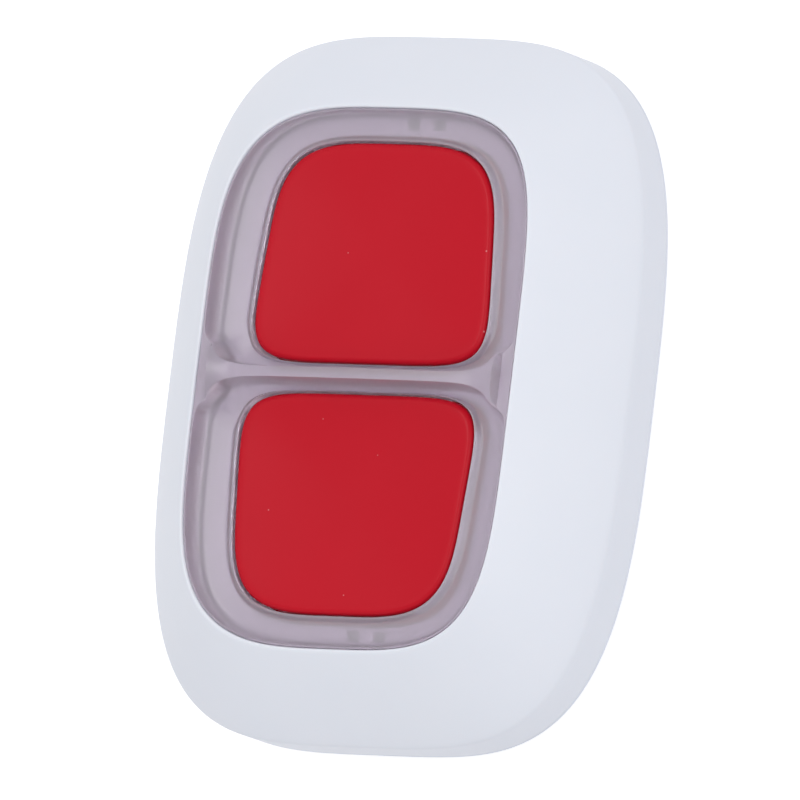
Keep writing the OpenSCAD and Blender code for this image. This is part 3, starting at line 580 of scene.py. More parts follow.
def rod_object(name: str, at: Sequence[float], radius: float, low: float, high: float) -> bpy.types.Object:
    """Makes an upright cylinder: a circle is the radius times the cosine and sine of an angle that runs once round.

    Args:
        name: the piece's name.
        at: the axis's place across and along.
        radius: the radius.
        low: the height of the lower end.
        high: the height of the upper end.

    Returns:
        The closed cylinder.
    """
    t = np.linspace(0, 2 * np.pi, ROD_POINTS, endpoint=False)
    ring = np.stack([at[0] + radius * np.cos(t), at[1] + radius * np.sin(t)], axis=1)
    return stack_object(name, np.stack([lifted(ring, low), lifted(ring, high)]))


def block_object(name: str, low: Sequence[float], high: Sequence[float]) -> bpy.types.Object:
    """Makes a box between two corners, as a stack of two four-point rings."""
    ring = np.array([[low[0], low[1]], [high[0], low[1]], [high[0], high[1]], [low[0], high[1]]])
    return stack_object(name, np.stack([lifted(ring, low[2]), lifted(ring, high[2])]))


class Cut(Enum):
    """How a tool body changes a piece."""

    UNION = "UNION"
    DIFFERENCE = "DIFFERENCE"
    INTERSECT = "INTERSECT"


def combine(piece: bpy.types.Object, tool: bpy.types.Object, how: Cut) -> None:
    """Joins a tool body to a piece or cuts it away, and removes the tool body.

    Args:
        piece: the piece that changes.
        tool: the closed body that it meets.
        how: union, difference or intersection.
    """
    modifier = piece.modifiers.new("combine", "BOOLEAN")
    modifier.operation = how.value
    modifier.object = tool
    modifier.solver = "MANIFOLD"
    depsgraph = bpy.context.evaluated_depsgraph_get()
    mesh = bpy.data.meshes.new_from_object(piece.evaluated_get(depsgraph))
    piece.modifiers.clear()
    piece.data = mesh
    bpy.data.objects.remove(tool)


def finish_surface(piece: bpy.types.Object, sharp_degrees: float = 32.0) -> None:
    """Merges doubles, turns every face outwards and shades the piece smooth up to a sharp angle.

    Args:
        piece: the piece.
        sharp_degrees: the angle above which an edge stays sharp.
    """
    work = bmesh.new()
    work.from_mesh(piece.data)
    bmesh.ops.remove_doubles(work, verts=work.verts, dist=MERGE_MM * MM)
    bmesh.ops.recalc_face_normals(work, faces=work.faces)
    work.to_mesh(piece.data)
    work.free()
    piece.data.shade_smooth()
    piece.data.set_sharp_from_angle(angle=math.radians(sharp_degrees))


def dress(piece: bpy.types.Object, material: bpy.types.Material) -> None:
    """Gives a piece one material."""
    piece.data.materials.clear()
    piece.data.materials.append(material)


def smooth_step(s: Floats) -> Floats:
    """Rises from zero to one with level ends: 3s^2 - 2s^3, held at both ends."""
    c = np.clip(s, 0, 1)
    return c * c * (3 - 2 * c)


@dataclass(frozen=True)
class CaseSizes:
    """The casing's own sizes, which the other sub-assemblies seat in. Around is the points on an outline."""

    body_w: float = 35.0
    body_l: float = 47.0
    body_h: float = 16.0
    outline_nx: float = 3.82
    outline_ny: float = 3.18
    parting_z: float = 6.4
    crease_z: float = 9.4
    rim_z: float = 15.4
    end_drop: float = 0.95
    rim_power: float = 4.0
    lip_z: float = 13.2
    lens_z: float = 12.2
    mat_z: float = 9.9
    deck_z: float = 9.2
    face_w: float = 23.83
    face_l: float = 35.72
    face_nx: float = 3.49
    face_ny: float = 4.71
    wall: float = 1.4
    ledge_w: float = 0.9
    seam: float = 0.12
    slope_bulge: float = 1.11
    around: int = 480

    def body(self, inset: float) -> Floats:
        """Gives the body's outline drawn in by an inset."""
        oval = SquaredOval(self.body_w / 2, self.body_l / 2, self.outline_nx, self.outline_ny)
        return oval.grown(-inset).points(self.around)

    def face(self, grow: float) -> Floats:
        """Gives the face opening's outline let out by a growth."""
        oval = SquaredOval(self.face_w / 2, self.face_l / 2, self.face_nx, self.face_ny)
        return oval.grown(grow).points(self.around)

    def rim(self, y: Floats) -> Floats:
        """Gives the rim's height at y, which falls by end_drop times the share of half the length to rim_power."""
        return self.rim_z - self.end_drop * np.abs(y / (self.face_l / 2)) ** self.rim_power

    def slope_run(self, s: Floats | float) -> Floats | float:
        """Gives the share of a slope's run left at a share s of its rise: (1 - s^b)^(1/b)."""
        return (1 - s ** self.slope_bulge) ** (1 / self.slope_bulge)


SIZES = CaseSizes()


@dataclass
class FrontShell:
    """White upper shell: an upright band, a crisp crease, a slope up to the rim and the moulding inside."""

    sizes: CaseSizes = SIZES
    ledge_h: float = 0.75
    tongue_inset: float = 0.9
    rebate_z: float = 7.5
    inner_drop: float = 0.5
    fit: float = 0.1
    crease_round: float = 0.22
    crease_rings: int = 7
    rim_round_share: float = 0.05
    rim_round: float = 0.25
    rim_corner: tuple[float, float, float] = (0.012, 1.0, 0.02)
    rim_rings: int = 9
    slope_rings: int = 26
    stake_r: float = 0.55
    shoulder_r: float = 0.85
    head_r: float = 0.9
    head_h: float = 0.5
    pin_overlap: float = 0.2
    deck_fit: float = 0.3
    guide_grow: float = 0.7

    def outer_profile(self) -> Floats:
        """Works out the outer cross-section as rows of run share, rise share and height offset.

        The run share is one on the body's outline and zero on the face opening. The rise share is zero at the
        crease and one at the rim. Over the slope the run follows slope_run, and both corners are rounded.

        Returns:
            An array of points by 3.
        """
        z = self.sizes
        start, stop = self.crease_round / (z.rim_z - z.crease_z), 1 - self.rim_round_share
        rise = np.linspace(start, stop, self.slope_rings)
        slope = np.stack([z.slope_run(rise), rise, np.zeros_like(rise)], axis=1)
        crease = bend([1, 0, -self.crease_round], [1, 0, 0], slope[0], self.crease_rings)
        rim = bend(slope[-1], self.rim_corner, [0, 1, -self.rim_round], self.rim_rings)
        foot = np.array([[1, 0, z.parting_z + z.seam - z.crease_z]])
        return np.concatenate([foot, crease, slope[1:-1], rim])

    def build(self) -> bpy.types.Object:
        """Makes the closed shell with its four stakes.

        Returns:
            The piece.
        """
        z = self.sizes
        run, rise, offset = self.outer_profile().T[:, :, None]
        face = z.face(0)
        flat = run[:, :, None] * z.body(0)[None] + (1 - run[:, :, None]) * face[None]
        height = z.crease_z + rise * (z.rim(face[:, 1])[None] - z.crease_z) + offset
        outer = np.concatenate([flat, height[:, :, None]], axis=2)
        ledge, inside, rebate = z.face(z.ledge_w), z.body(z.wall), z.body(self.tongue_inset - self.fit)
        inner = [(face, z.lip_z), (ledge, z.lip_z), (ledge, z.lip_z - self.ledge_h),
                 (inside, z.crease_z - self.inner_drop), (inside, self.rebate_z), (rebate, self.rebate_z),
                 (rebate, z.parting_z), (z.body(z.seam), z.parting_z)]
        rings = np.concatenate([outer, np.stack([lifted(ring, h) for ring, h in inner])])
        shell = hoop_object("front_shell", rings)
        across, along = self.stake_places()
        for place in ((across, 0), (-across, 0), (0, along), (0, -along)):
            self.add_stake(shell, place)
        finish_surface(shell)
        return shell

    def stake_places(self) -> tuple[float, float]:
        """Works out how far the stakes stand from the middle, halfway between the guide and the deck's edge.

        Returns:
            The distance across and the distance along.
        """
        z = self.sizes
        foot, top = z.crease_z - self.inner_drop, z.lip_z - self.ledge_h
        way = (z.mat_z - foot) / (top - foot)
        low = np.array([z.body_w, z.body_l]) / 2 - z.wall - self.deck_fit
        high = np.array([z.face_w, z.face_l]) / 2 + z.ledge_w - self.deck_fit
        guide = np.array([z.face_w, z.face_l]) / 2 + self.guide_grow
        across, along = ((1 - way) * low + way * high + guide) / 2
        return float(across), float(along)

    def add_stake(self, shell: bpy.types.Object, at: Sequence[float]) -> None:
        """Adds one stake: a shoulder from the slope down to the deck, a pin through it and a melted head.

        Args:
            shell: the shell that carries it.
            at: its place across and along.
        """
        z = self.sizes
        middle = np.stack([lifted(z.body(z.wall / 2), z.deck_z), lifted(z.body(z.wall / 2), z.crease_z),
                           lifted(z.face(z.ledge_w / 2), z.lip_z)])
        shoulder = rod_object("shoulder", at, self.shoulder_r, z.mat_z, z.lip_z)
        combine(shoulder, stack_object("middle", middle), Cut.INTERSECT)
        combine(shell, shoulder, Cut.UNION)
        pin = rod_object("pin", at, self.stake_r, z.deck_z - self.pin_overlap, z.mat_z + self.pin_overlap)
        head = rod_object("head", at, self.head_r, z.deck_z - self.head_h, z.deck_z)
        combine(shell, pin, Cut.UNION)
        combine(shell, head, Cut.UNION)


@dataclass
class RearShell:
    """White lower shell: the flat back, its sloping sides, the tongue, the strap pocket and bore.

    Foot_lean is the slope's angle at the foot in degrees. Notch is the depth, length and height of the notch
    in the seam. Overrun is how far a cutting body stands out of what it cuts.
    """

    sizes: CaseSizes = SIZES
    foot_inset: float = 5.6
    foot_round: float = 1.6
    foot_lean: float = 39.0
    foot_rings: int = 9
    slope_end: float = 0.98
    slope_rings: int = 22
    inside_rings: int = 12
    back_t: float = 1.5
    tongue_inset: float = 0.9
    tongue_h: float = 0.5
    run_less: float = 0.9
    inner_lead: float = 0.4
    floor_round: float = 0.5
    strap_w: float = 5.6
    strap_l: float = 5.4
    strap_h: float = 4.3
    strap_y: float = 12.7
    strap_wall: float = 1.0
    strap_r: float = 1.2
    strap_z: float = 2.6
    notch: tuple[float, float, float] = (0.6, 6.0, 0.7)
    cradle_r: float = 5.0
    cradle_t: float = 0.8
    cradle_h: float = 0.5
    bore_overlap: float = 0.5
    overrun: float = 1.0

    def rings(self, inset: float, floor: float) -> list[Floats]:
        """Works out the outer rings from the flat back up to the seam.

        An arc of radius foot_round turns from level to the slope's own angle, and the slope then follows
        slope_run outwards up to the seam.

        Args:
            inset: how far all rings are drawn in.
            floor: how far the first ring is raised.

        Returns:
            The rings, lowest first.
        """
        z = self.sizes
        lean = math.radians(self.foot_lean)
        fall = z.parting_z - z.seam - self.foot_round * (1 - math.cos(lean)) - floor
        arc = [lifted(z.body(inset + self.foot_inset + self.foot_round * (math.sin(lean) - math.sin(a))),
                      floor + self.foot_round * (1 - math.cos(a))) for a in np.linspace(0, lean, self.foot_rings)]
        slope = [lifted(z.body(inset + self.foot_inset * (1 - z.slope_run(u))), z.parting_z - z.seam - u * fall)
                 for u in np.linspace(self.slope_end, 0, self.slope_rings)]
        return arc + slope

    def build(self) -> bpy.types.Object:
        """Makes the shell, adds the cradle and the strap block and cuts pocket, bore and notch.

        Returns:
            The piece.
        """
        z = self.sizes
        run, drop = self.foot_inset - self.run_less, z.parting_z - self.back_t - 2 * self.inner_lead
        step, tip = z.body(self.tongue_inset), z.parting_z + self.tongue_h
        tongue = [lifted(z.body(z.seam), z.parting_z), lifted(step, z.parting_z), lifted(step, tip),
                  lifted(z.body(z.wall), tip)]
        inside = [lifted(z.body(z.wall + run * (1 - z.slope_run(u))), z.parting_z - self.inner_lead - u * drop)
                  for u in np.linspace(0, 1, self.inside_rings)]
        floor = [lifted(z.body(z.wall + run + self.floor_round), self.back_t)]
        shell = stack_object("rear_shell", np.stack(self.rings(0, 0) + tongue + inside + floor))
        combine(shell, self.strap_block(), Cut.UNION)
        cradle = rod_object("cradle", (0, 0), self.cradle_r, self.back_t / 2, self.back_t + self.cradle_h)
        well = rod_object("well", (0, 0), self.cradle_r - self.cradle_t, self.back_t, self.back_t + self.overrun)
        combine(cradle, well, Cut.DIFFERENCE)
        combine(shell, cradle, Cut.UNION)
        half, strap_end = self.strap_w / 2, self.strap_y + self.strap_l
        pocket = block_object("pocket", (-half, self.strap_y, -self.overrun), (half, strap_end, self.strap_h))
        combine(shell, pocket, Cut.DIFFERENCE)
        bore = rod_object("bore", (0, -self.strap_z), self.strap_r, strap_end - self.bore_overlap,
                          z.body_l / 2 + self.overrun)
        bore.data.transform(Matrix.Rotation(math.radians(-90), 4, "X"))
        combine(shell, bore, Cut.DIFFERENCE)
        depth, length, height = self.notch
        cutter = block_object("notch", (-z.body_w / 2 - self.overrun, -length / 2, z.parting_z - height),
                              (-z.body_w / 2 + depth, length / 2, z.parting_z + self.overrun))
        combine(shell, cutter, Cut.DIFFERENCE)
        finish_surface(shell)
        return shell

    def strap_block(self) -> bpy.types.Object:
        """Makes the block inside the shell that the pocket and the bore are cut from.

        Returns:
            The block, trimmed to half the wall's depth.
        """
        z = self.sizes
        half, top = self.strap_w / 2 + self.strap_wall, self.strap_h + self.strap_wall
        block = block_object("block", (-half, self.strap_y - self.strap_wall, 0), (half, z.body_l, top))
        trim = stack_object("trim", np.stack(self.rings(z.wall / 2, self.back_t / 2)))
        combine(block, trim, Cut.INTERSECT)
        return block


@dataclass
class RedCap:
    """Red push cap: a hollow shell with a flange below, a dished matt top, a post and two ribs."""

    half: Half
    sizes: CaseSizes = SIZES
    width: float = 17.15
    length: float = 14.55
    centre_y: float = 8.29
    n_out: float = 3.8
    n_in: float = 5.8
    taper_share: float = 0.061
    top_z: float = 14.05
    under_z: float = 12.85
    foot_z: float = 11.5
    flange_z: float = 12.1
    flange: float = 0.5
    wall: float = 1.2
    dish: float = 0.22
    dish_shares: tuple[float, float] = (0.96, 0.03)
    dish_rings: int = 26
    edge_round: float = 0.35
    edge_rings: int = 11
    post_r: float = 1.5
    post_z: float = 11.1
    rib_w: float = 0.7
    rib_h: float = 0.5

    def half_width(self, y: Floats, grow: float) -> Floats:
        """Gives half the cap's width at y from its centre, which falls evenly towards the outer end."""
        return (self.width / 2 + grow) * (1 - self.taper_share * y / (self.length / 2 + grow))

    def outline(self, grow: float) -> Floats:
        """Works out the cap's outline for the upper half.

        It is a squared oval whose exponent is n_out on the outer side and n_in beside the divider, and its
        width follows half_width.

        Args:
            grow: how far it is let out.

        Returns:
            An array of points by 2, in place.
        """
        cos, sin = once_round(self.sizes.around)
        power = 2 / np.where(sin > 0, self.n_out, self.n_in)
        y = (self.length / 2 + grow) * np.sign(sin) * np.abs(sin) ** power
        x = self.half_width(y, grow) * np.sign(cos) * np.abs(cos) ** power
        return np.stack([x, y + self.centre_y], axis=1)

    def build(self) -> bpy.types.Object:
        """Makes the cap.

        The upper edge turns through a quarter circle of edge_round. On the top, a ring at a share s of the
        size lies dish times 1 - s^2 below the edge.

        Returns:
            The piece.
        """
        inside, flange = self.outline(-self.wall), self.outline(self.flange)
        rings = [lifted(inside, self.under_z), lifted(inside, self.foot_z), lifted(flange, self.foot_z),
                 lifted(flange, self.flange_z), lifted(self.outline(0), self.flange_z)]
        rings += [lifted(self.outline(-self.edge_round * (1 - math.cos(a))),
                         self.top_z - self.edge_round * (1 - math.sin(a)))
                  for a in np.linspace(0, math.pi / 2, self.edge_rings)]
        rim, centre = self.outline(-self.edge_round), np.array([0, self.centre_y])
        rings += [lifted(centre + s * (rim - centre), self.top_z - self.dish * (1 - s * s))
                  for s in np.linspace(*self.dish_shares, self.dish_rings)]
        cap = stack_object(f"{self.half.name.lower()}_cap", np.stack(rings))
        skin = self.under_z + (self.wall - self.dish) / 2
        span = (self.length - self.wall) / 2
        y, low = self.centre_y, self.under_z - self.rib_h
        combine(cap, rod_object("post", (0, y), self.post_r, self.post_z, skin), Cut.UNION)
        for wide, long in ((span, self.rib_w / 2), (self.rib_w / 2, span)):
            combine(cap, block_object("rib", (-wide, y - long, low), (wide, y + long, skin)), Cut.UNION)
        cap.data.transform(Matrix.Diagonal((1, self.half.value, 1, 1)))
        finish_surface(cap)
        return cap


@dataclass
class ClearFrame:
    """Clear light-guide frame: a collar, a groove and a bowl round each cap, and the flared divider.

    Values that end in share are shares of the way from a cap's hole to the wall's top. Base_x is where the
    divider's ends break off, in an end face base_step long whose foot runs into the wall over base_round.
    In front of it a facet rises by facet_rise, from facet_x on the middle line, and is facet_w to each side.
    Over the frame's top, each ray's first point lies at the share top_near. The end face's top lies between
    the two shares of top_limits, and foot_limits are the least share from it to the foot and the foot's
    largest share.
    """

    sizes: CaseSizes = SIZES
    cap: RedCap = field(default_factory=lambda: RedCap(Half.UPPER))
    gap: float = 0.05
    air_gap: float = 0.03
    cap_gap: float = 0.1
    edge_w: float = 0.12
    collar_share: float = 0.1
    collar_rings: int = 8
    groove_share: float = 0.2
    bowl_share: float = 0.955
    bowl_rings: int = 21
    crown_rings: int = 6
    collar_round: float = 0.1
    moat_d: float = 0.3
    floor_lean: float = 0.2
    bowl_power: float = 9.0
    ridge_w: float = 0.74
    ridge_end_rise: float = 0.25
    flare_w: float = 1.2
    flare_sharpness: float = 9.0
    base_w: float = 1.5
    base_round: float = 2.4
    base_x: float = 10.8
    base_step: float = 0.22
    facet_x: float = 9.2
    facet_w: float = 1.3
    facet_rise: float = 0.26
    top_near: float = 0.1
    top_limits: tuple[float, float] = (0.16, 0.86)
    foot_limits: tuple[float, float] = (0.03, 0.92)
    frame_drop: float = 0.25
    outer_rays: int = 336
    inner_rays: int = 128
    base_rays: int = 5
    sharp_degrees: float = 30.0

    def crest(self, x: Floats, y: Floats) -> Floats:
        """Gives the height of the frame's upper edge.

        It is frame_drop below the rim, and near the middle line it rises in a smooth step to the divider's
        top, which falls from the body's full height with the square of the distance from the middle. Past
        base_x it drops back in a smooth step. The facet before that rises evenly to base_x, from a line that
        bends away from the middle with the square of y.

        Args:
            x: the places across.
            y: the places along.

        Returns:
            One height for each place.
        """
        z = self.sizes
        end = z.rim_z + self.ridge_end_rise
        ridge = z.body_h - (z.body_h - end) * (x / (z.face_w / 2 - self.gap)) ** 2
        drop = smooth_step((np.abs(x) - self.base_x) / self.base_step)
        blend = smooth_step((2 * self.flare_w - np.abs(y)) / self.flare_w) * (1 - drop)
        slant = (self.base_x - self.facet_x) * (1 - (y / self.facet_w) ** 2)
        facet = np.clip((np.abs(x) - self.base_x + slant) / (self.base_x - self.facet_x), 0, 1)
        return (z.rim(y) - self.frame_drop) * (1 - blend) + (ridge + self.facet_rise * facet) * blend

    def rays(self) -> tuple[Floats, NDArray[np.bool_]]:
        """Spreads the rays: evenly by angle to the opening, then evenly to the divider, with some on its end faces.

        Returns:
            The direction of each ray, and whether it ends on the middle line.
        """
        corner = math.atan2(self.cap.centre_y, self.sizes.face_w / 2 - self.gap)
        outer = np.linspace(-corner, np.pi + corner, self.outer_rays + 1)
        inner = np.linspace(np.pi + corner, 2 * np.pi - corner, self.inner_rays + 1)[1:-1]
        reach = np.linspace(self.base_x, self.base_x + self.base_step, self.base_rays)
        base = np.arctan2(self.cap.centre_y, reach)
        inner = np.sort(np.concatenate([inner, np.pi + base, 2 * np.pi - base]))
        angle = np.concatenate([outer, inner])
        middle = np.zeros(len(angle), bool)
        middle[[0, self.outer_rays]] = True
        middle[self.outer_rays + 1:] = True
        return np.stack([np.cos(angle), np.sin(angle)], axis=1), middle

    def build(self) -> bpy.types.Object:
        """Makes the frame from rays that run out from a cap's centre.

        Along each ray the height is level over the collar, falls in a smooth step to the groove, and rises
        first gently and then with a high power of the way to the wall's top, where a quadratic curve rounds
        it over. The wall's top lies where a negative power mean of the ways to the opening and to the
        divider puts it, and beside the divider's ends it stays behind base_x. Rays to the opening then go
        down to the lip, out to the flange and down. The half below the middle line is a mirror image.

        Returns:
            The piece.
        """
        z, cy = self.sizes, self.cap.centre_y
        direction, middle = self.rays()
        count, far = len(direction), 2 * z.body_l
        oval = SquaredOval(z.face_w / 2 - self.gap, z.face_l / 2 - self.gap, z.face_nx, z.face_ny)
        dx, dy = direction.T
        flange_oval = oval.grown(z.ledge_w - 2 * self.gap)
        face = halve(lambda r: oval.level(r * dx, cy + r * dy) < 1, count, far)
        hole = halve(lambda r: self.cap_level(r * dx, r * dy) < 1, count, far)
        falling = np.where(dy < 0, -dy, ZERO)
        line = np.minimum(far, (cy - self.ridge_w / 2) / falling)
        power = -self.flare_sharpness
        to_line = np.minimum(face, cy / falling)
        near_middle = smooth_step((self.base_w - (cy + to_line * dy)) / self.base_round + 0.5)
        wall = face - self.edge_w
        wall += near_middle * np.minimum(0, self.base_x / np.maximum(np.abs(dx), TINY) - wall)
        top = (wall ** power + line ** power) ** (1 / power)
        inner = middle.copy()
        inner[[0, self.outer_rays]] = False
        edge = np.where(middle, to_line, face)[:, None] * direction + (0, cy)
        edge[middle, 1] = 0
        top_xy = top[:, None] * direction + (0, cy)
        top_z = self.crest(*top_xy.T)
        floor = z.lens_z + self.air_gap
        columns = [self.ring(hole, direction, floor), self.ring(hole, direction, self.cap.top_z - self.collar_round)]
        shares = np.concatenate([np.linspace(0, self.groove_share, self.collar_rings + 1)[1:],
                                 np.linspace(self.groove_share, self.bowl_share, self.bowl_rings + 1)[1:]])
        for share in shares:
            columns.append(self.ring(hole + share * (top - hole), direction, self.bowl_height(share, top_z)))
        last = columns[-1]
        crown = np.column_stack([top_xy, top_z])
        across = []
        for share in self.steps(np.abs(top_xy[:, 0]), np.abs(edge[:, 0])):
            flat = top_xy + share[:, None] * (edge - top_xy)
            across.append(np.column_stack([flat, self.crest(*flat.T)]))
        t = np.linspace(0, 1, self.crown_rings + 1)[1:, None, None]
        columns += list((1 - t) ** 2 * last + 2 * t * (1 - t) * crown + t ** 2 * across[0]) + across[1:]
        outward = (edge / np.maximum(np.linalg.norm(edge, axis=1), TINY)[:, None]).T
        reach = halve(lambda r: flange_oval.level(r * outward[0], r * outward[1]) < 1, count, far)
        brim = np.where(inner[:, None], edge, (reach * outward).T)
        brim[[0, self.outer_rays], 1] = 0
        shelf = z.lip_z - self.gap
        columns += [np.column_stack([edge, np.full(count, shelf)]), np.column_stack([brim, np.full(count, shelf)]),
                    np.column_stack([brim, np.full(count, floor)])]
        return self.close(np.stack(columns))

    def steps(self, start: Floats, end: Floats) -> list[Floats]:
        """Gives the shares of the way over the frame's top at which each ray has a point.

        Two of them lie on the foot and the top of the divider's end face, where the ray crosses it.

        Args:
            start: the distance sideways of the wall's top.
            end: the distance sideways of the ray's end.

        Returns:
            One array of shares for each column.
        """
        (first, last), (least, farthest) = self.top_limits, self.foot_limits
        way = np.where(np.abs(end - start) < TINY, TINY, end - start)
        top = np.where(end < self.base_x, last, np.clip((self.base_x - start) / way, first, last))
        foot = np.clip((self.base_x + self.base_step - start) / way, top + least, farthest)
        foot = np.where(end < self.base_x, farthest, foot)
        near = np.full(len(start), self.top_near)
        return [near, (near + top) / 2, top, (top + foot) / 2, foot, (foot + 1) / 2, np.ones(len(start))]

    def cap_level(self, x: Floats, y: Floats) -> Floats:
        """Says how far out points lie on the hole round the cap, which is the cap's outline let out by cap_gap.

        Args:
            x: the places across.
            y: the places along, from the cap's centre.

        Returns:
            One level for each point, where one is the hole's edge.
        """
        power = np.where(y > 0, self.cap.n_out, self.cap.n_in)
        wide, long = self.cap.half_width(y, self.cap_gap), self.cap.length / 2 + self.cap_gap
        return np.abs(x / np.maximum(wide, TINY)) ** power + np.abs(y / long) ** power

    def bowl_height(self, share: float, top_z: Floats) -> Floats:
        """Gives the height over the collar, the groove and the bowl.

        Args:
            share: the share of the way from the hole to the wall's top.
            top_z: the height of each ray's wall.

        Returns:
            One height for each ray.
        """
        moat = self.cap.top_z - self.moat_d
        if share <= self.groove_share:
            level = self.collar_share / 2
            fall = smooth_step(np.float64((share - level) / (self.groove_share - level)))
            return np.full_like(top_z, self.cap.top_z - self.moat_d * fall)
        way = (share - self.groove_share) / (1 - self.groove_share)
        rise = self.floor_lean * way + (1 - self.floor_lean) * way ** self.bowl_power
        return moat + (top_z - moat) * rise

    def ring(self, length: Floats, direction: Floats, height: Floats | float) -> Floats:
        """Puts a point on every ray at a length and height."""
        flat = length[:, None] * direction + (0, self.cap.centre_y)
        return np.column_stack([flat, np.broadcast_to(height, len(flat))])

    def close(self, grid: Floats) -> bpy.types.Object:
        """Turns the grid of one half into the whole frame.

        Faces that lie on the middle line are left out, the mirror image is added, and both halves are merged.

        Args:
            grid: an array of columns by rays by 3.

        Returns:
            The piece.
        """
        columns, rays = grid.shape[:2]
        points = grid.reshape(-1, 3)
        quads = grid_quads(columns, rays, True)
        quads = quads[~np.all(np.abs(points[quads][:, :, 1]) < ZERO, axis=1)]
        mirrored = points * (1, -1, 1)
        both = np.concatenate([quads, quads[:, ::-1] + len(points)])
        piece = make_object("clear_frame", np.concatenate([points, mirrored]), both.tolist())
        finish_surface(piece, self.sharp_degrees)
        return piece


@dataclass
class Interior:
    """The pieces inside the case, which keep their CAD form and get their real finishes."""

    # The light pipes' finish is a dark grey of painted shade, for the shade inside the clear pipes.
    finishes: dict[str, Finish] = field(default_factory=lambda: {
        "light_pipes": PIPE_PAINTED_SHADE, "button_guide": GUIDE, "sealing_mat": SILICONE, "chassis": BLACK_NYLON,
        "circuit_board": BOARD, "upper_switch_base": BLACK_NYLON, "lower_switch_base": BLACK_NYLON,
        "upper_switch_terminals": STEEL, "lower_switch_terminals": STEEL, "upper_switch_cover": STEEL,
        "lower_switch_cover": STEEL, "indicator_leds": LED_RESIN, "antenna": STEEL, "radio_shield": STEEL,
        "processor": BLACK_NYLON, "crystal": STEEL, "chip_parts": CERAMIC, "cell_holder": BLACK_NYLON,
        "cell_can": STEEL, "cell_gasket": CELL_SEAL, "cell_filling": ELECTRODE, "cell_cap": STEEL,
        "positive_contacts": GOLD, "negative_contact": GOLD, "board_screws": STEEL, "rear_gasket": SILICONE,
        "upper_plunger": BLACK_NYLON, "lower_plunger": BLACK_NYLON})

    def dress_all(self, shop: Workshop) -> None:
        """Gives every inner CAD node its finish.

        Args:
            shop: the materials.
        """
        for name, finish in self.finishes.items():
            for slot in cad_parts[name].material_slots:
                slot.material = shop.get(finish)
            LOG.info("dressed %s in %s", name, finish.name)


@dataclass
class SpringyParts:
    """The silicone bellows and steel snap domes, which flatten towards their foot as their cap is pressed; here they
    keep their CAD form.

    Each is a merged copy of its CAD node. Foot is the height of the end that stays, and keep is the share of the
    height that the cap's full travel leaves; neither is used.
    """

    bellows_foot: float = 9.9
    bellows_keep: float = 0.33
    dome_foot: float = 7.6
    dome_keep: float = 0.05
    sharp_degrees: float = 30.0

    def build(self, shop: Workshop) -> None:
        """Makes the four pieces.

        Args:
            shop: the materials.
        """
        for side in ("upper", "lower"):
            bellows = self.copy_of(f"{side}_bellows", f"{side}_flexing_bellows")
            install(bellows, f"{side}_bellows", "case", shop.get(SILICONE))
            self.flatten(bellows)
            dome = self.copy_of(f"{side}_snap_dome", f"{side}_flexing_dome")
            install(dome, f"{side}_snap_dome", "case", shop.get(STEEL))
            self.flatten(dome)

    def copy_of(self, node: str, name: str) -> bpy.types.Object:
        """Copies a CAD node's mesh, with its doubles merged.

        Args:
            node: the node.
            name: the copy's name.

        Returns:
            The copy.
        """
        piece = bpy.data.objects.new(name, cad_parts[node].data.copy())
        bpy.context.scene.collection.objects.link(piece)
        finish_surface(piece, self.sharp_degrees)
        return piece

    def flatten(self, piece: bpy.types.Object) -> None:
        """Gives a piece its own copy of its mesh; it does not flatten it."""
        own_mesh(piece)


@dataclass(frozen=True)
class Softbox:
    """Square studio lamp: its name, its place and side in millimetres and its power in watts."""

    name: str
    place: tuple[float, float, float]
    side: float
    power: float


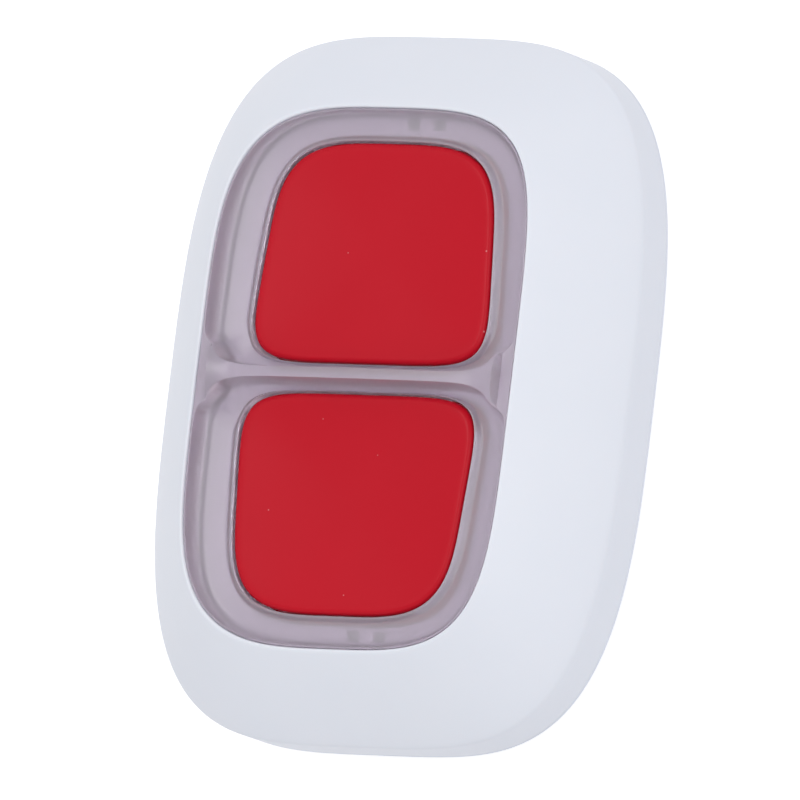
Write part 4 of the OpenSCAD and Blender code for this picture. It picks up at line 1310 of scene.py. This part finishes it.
@dataclass
class Studio:
    """Plain pale floor, soft studio light and the camera at the photograph's angle.

    The camera looks at target, and turn, tilt and roll are its angles in degrees. Pixels_per_mm is the scale
    at the target, whose place in an 800 by 800 picture is target_px. Floor_glow is what the floor adds to
    its own colour where it is seen, and fill is the strength of the light from all round.
    """

    target: tuple[float, float, float] = (0.0, 0.0, 6.706)
    turn: float = 31.437
    tilt: float = -8.164
    roll: float = 6.802
    distance: float = 1912.374
    pixels_per_mm: float = 15.363
    target_px: tuple[float, float] = (419.344, 399.18)
    picture: int = 800
    sensor_mm: float = 36.0
    clip_m: tuple[float, float] = (0.05, 20.0)
    floor_r: float = 700.0
    floor_z: float = -0.01
    floor_points: int = 96
    floor_colour: str = "#EDEDEF"
    floor_glow: float = 0.5
    fill: float = 0.65
    lamps: tuple[Softbox, ...] = (Softbox("key_softbox", (465, 0, 590), 520, 1.42),
                                  Softbox("top_softbox", (-104, 104, 500), 210, 0.485))

    def build(self) -> None:
        """Makes the camera, the floor, the lamps and the world."""
        self.add_camera()
        self.add_floor()
        self.add_world()
        for softbox in self.lamps:
            self.add_lamp(softbox)
        bpy.context.scene.view_settings.view_transform = "Standard"

    def add_camera(self) -> None:
        """Makes the camera from its fitted angles: turn is about the Y axis, tilt up or down, roll about the view."""
        h, v, roll = (math.radians(a) for a in (self.turn, self.tilt, self.roll))
        back = Vector((math.sin(h) * math.cos(v), math.sin(v), math.cos(h) * math.cos(v)))
        right = Vector((0, 1, 0)).cross(back).normalized()
        up = back.cross(right)
        across = math.cos(roll) * right + math.sin(roll) * up
        above = -math.sin(roll) * right + math.cos(roll) * up
        data = bpy.data.cameras.new("camera")
        data.sensor_width = self.sensor_mm
        data.lens = self.pixels_per_mm * self.distance * data.sensor_width / self.picture
        data.shift_x = (self.picture / 2 - self.target_px[0]) / self.picture
        data.shift_y = (self.target_px[1] - self.picture / 2) / self.picture
        data.clip_start, data.clip_end = self.clip_m
        camera = bpy.data.objects.new("camera", data)
        place = (Vector(self.target) + back * self.distance) * MM
        turn = Matrix((across, above, back)).transposed().to_4x4()
        camera.matrix_world = Matrix.Translation(place) @ turn
        bpy.context.scene.collection.objects.link(camera)
        bpy.context.scene.camera = camera

    def add_floor(self) -> None:
        """Makes the floor: a flat disc that shows white and keeps the object's soft shadow."""
        ring = lifted(self.floor_r * np.stack(once_round(self.floor_points), axis=1), self.floor_z)
        floor = make_object("floor", ring, [list(range(self.floor_points))])
        m = new_material("white_floor")
        lift = add_node(m, "ShaderNodeMath", {0: shown(m), 1: self.floor_glow}, operation="MULTIPLY")
        matt = add_node(m, "ShaderNodeBsdfDiffuse", {"Color": linear(self.floor_colour)})
        glow = add_node(m, "ShaderNodeEmission", {"Color": (1, 1, 1, 1), "Strength": lift.outputs[0]})
        both = add_node(m, "ShaderNodeAddShader", {0: matt.outputs[0], 1: glow.outputs[0]})
        add_node(m, "ShaderNodeOutputMaterial", {"Surface": both.outputs[0]})
        dress(floor, m)

    def add_world(self) -> None:
        """Makes the world: white where it is seen, and an even pale light elsewhere."""
        world = bpy.data.worlds.new("studio")
        world.use_nodes = True
        world.node_tree.nodes.clear()
        strength = add_node(world, "ShaderNodeMapRange", {"Value": shown(world), "To Min": self.fill, "To Max": 1.0})
        sky = add_node(world, "ShaderNodeBackground", {"Color": (1, 1, 1, 1), "Strength": strength.outputs["Result"]})
        add_node(world, "ShaderNodeOutputWorld", {"Surface": sky.outputs[0]})
        bpy.context.scene.world = world

    def add_lamp(self, softbox: Softbox) -> None:
        """Adds one softbox that looks at the target.

        Args:
            softbox: its sizes.
        """
        data = bpy.data.lights.new(softbox.name, "AREA")
        data.shape, data.size, data.energy = "SQUARE", softbox.side * MM, softbox.power
        lamp = bpy.data.objects.new(softbox.name, data)
        lamp.location = Vector(softbox.place) * MM
        lamp.rotation_euler = (Vector(softbox.place) - Vector(self.target)).to_track_quat("Z", "Y").to_euler()
        bpy.context.scene.collection.objects.link(lamp)


def install(piece: bpy.types.Object, node: str, body: str, material: bpy.types.Material) -> None:
    """Puts a finished piece in place of its CAD node and logs it.

    Args:
        piece: the new piece.
        node: the CAD node that it stands for.
        body: the body that it rides on.
        material: its material.
    """
    dress(piece, material)
    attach(piece, body)
    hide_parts(node)
    LOG.info("built %s with %d faces on %s", piece.name, len(piece.data.polygons), body)


def main() -> None:
    """Builds every sub-assembly in order and reports each piece."""
    logging.basicConfig(level=logging.INFO, format="%(name)s: %(message)s")
    Studio().build()
    shop = Workshop()
    white, red, clear = shop.get(WHITE_SHELL), shop.get(RED_CAP), shop.get(CLEAR_FRAME)
    install(FrontShell().build(), "front_housing", "case", white)
    install(RearShell().build(), "rear_housing", "rear_cover", white)
    install(ClearFrame().build(), "lens_frame", "case", clear)
    install(RedCap(Half.UPPER).build(), "upper_button", "upper_cap", red)
    install(RedCap(Half.LOWER).build(), "lower_button", "lower_cap", red)
    SpringyParts().build(shop)
    Interior().dress_all(shop)


if __name__ == "__main__":
    main()
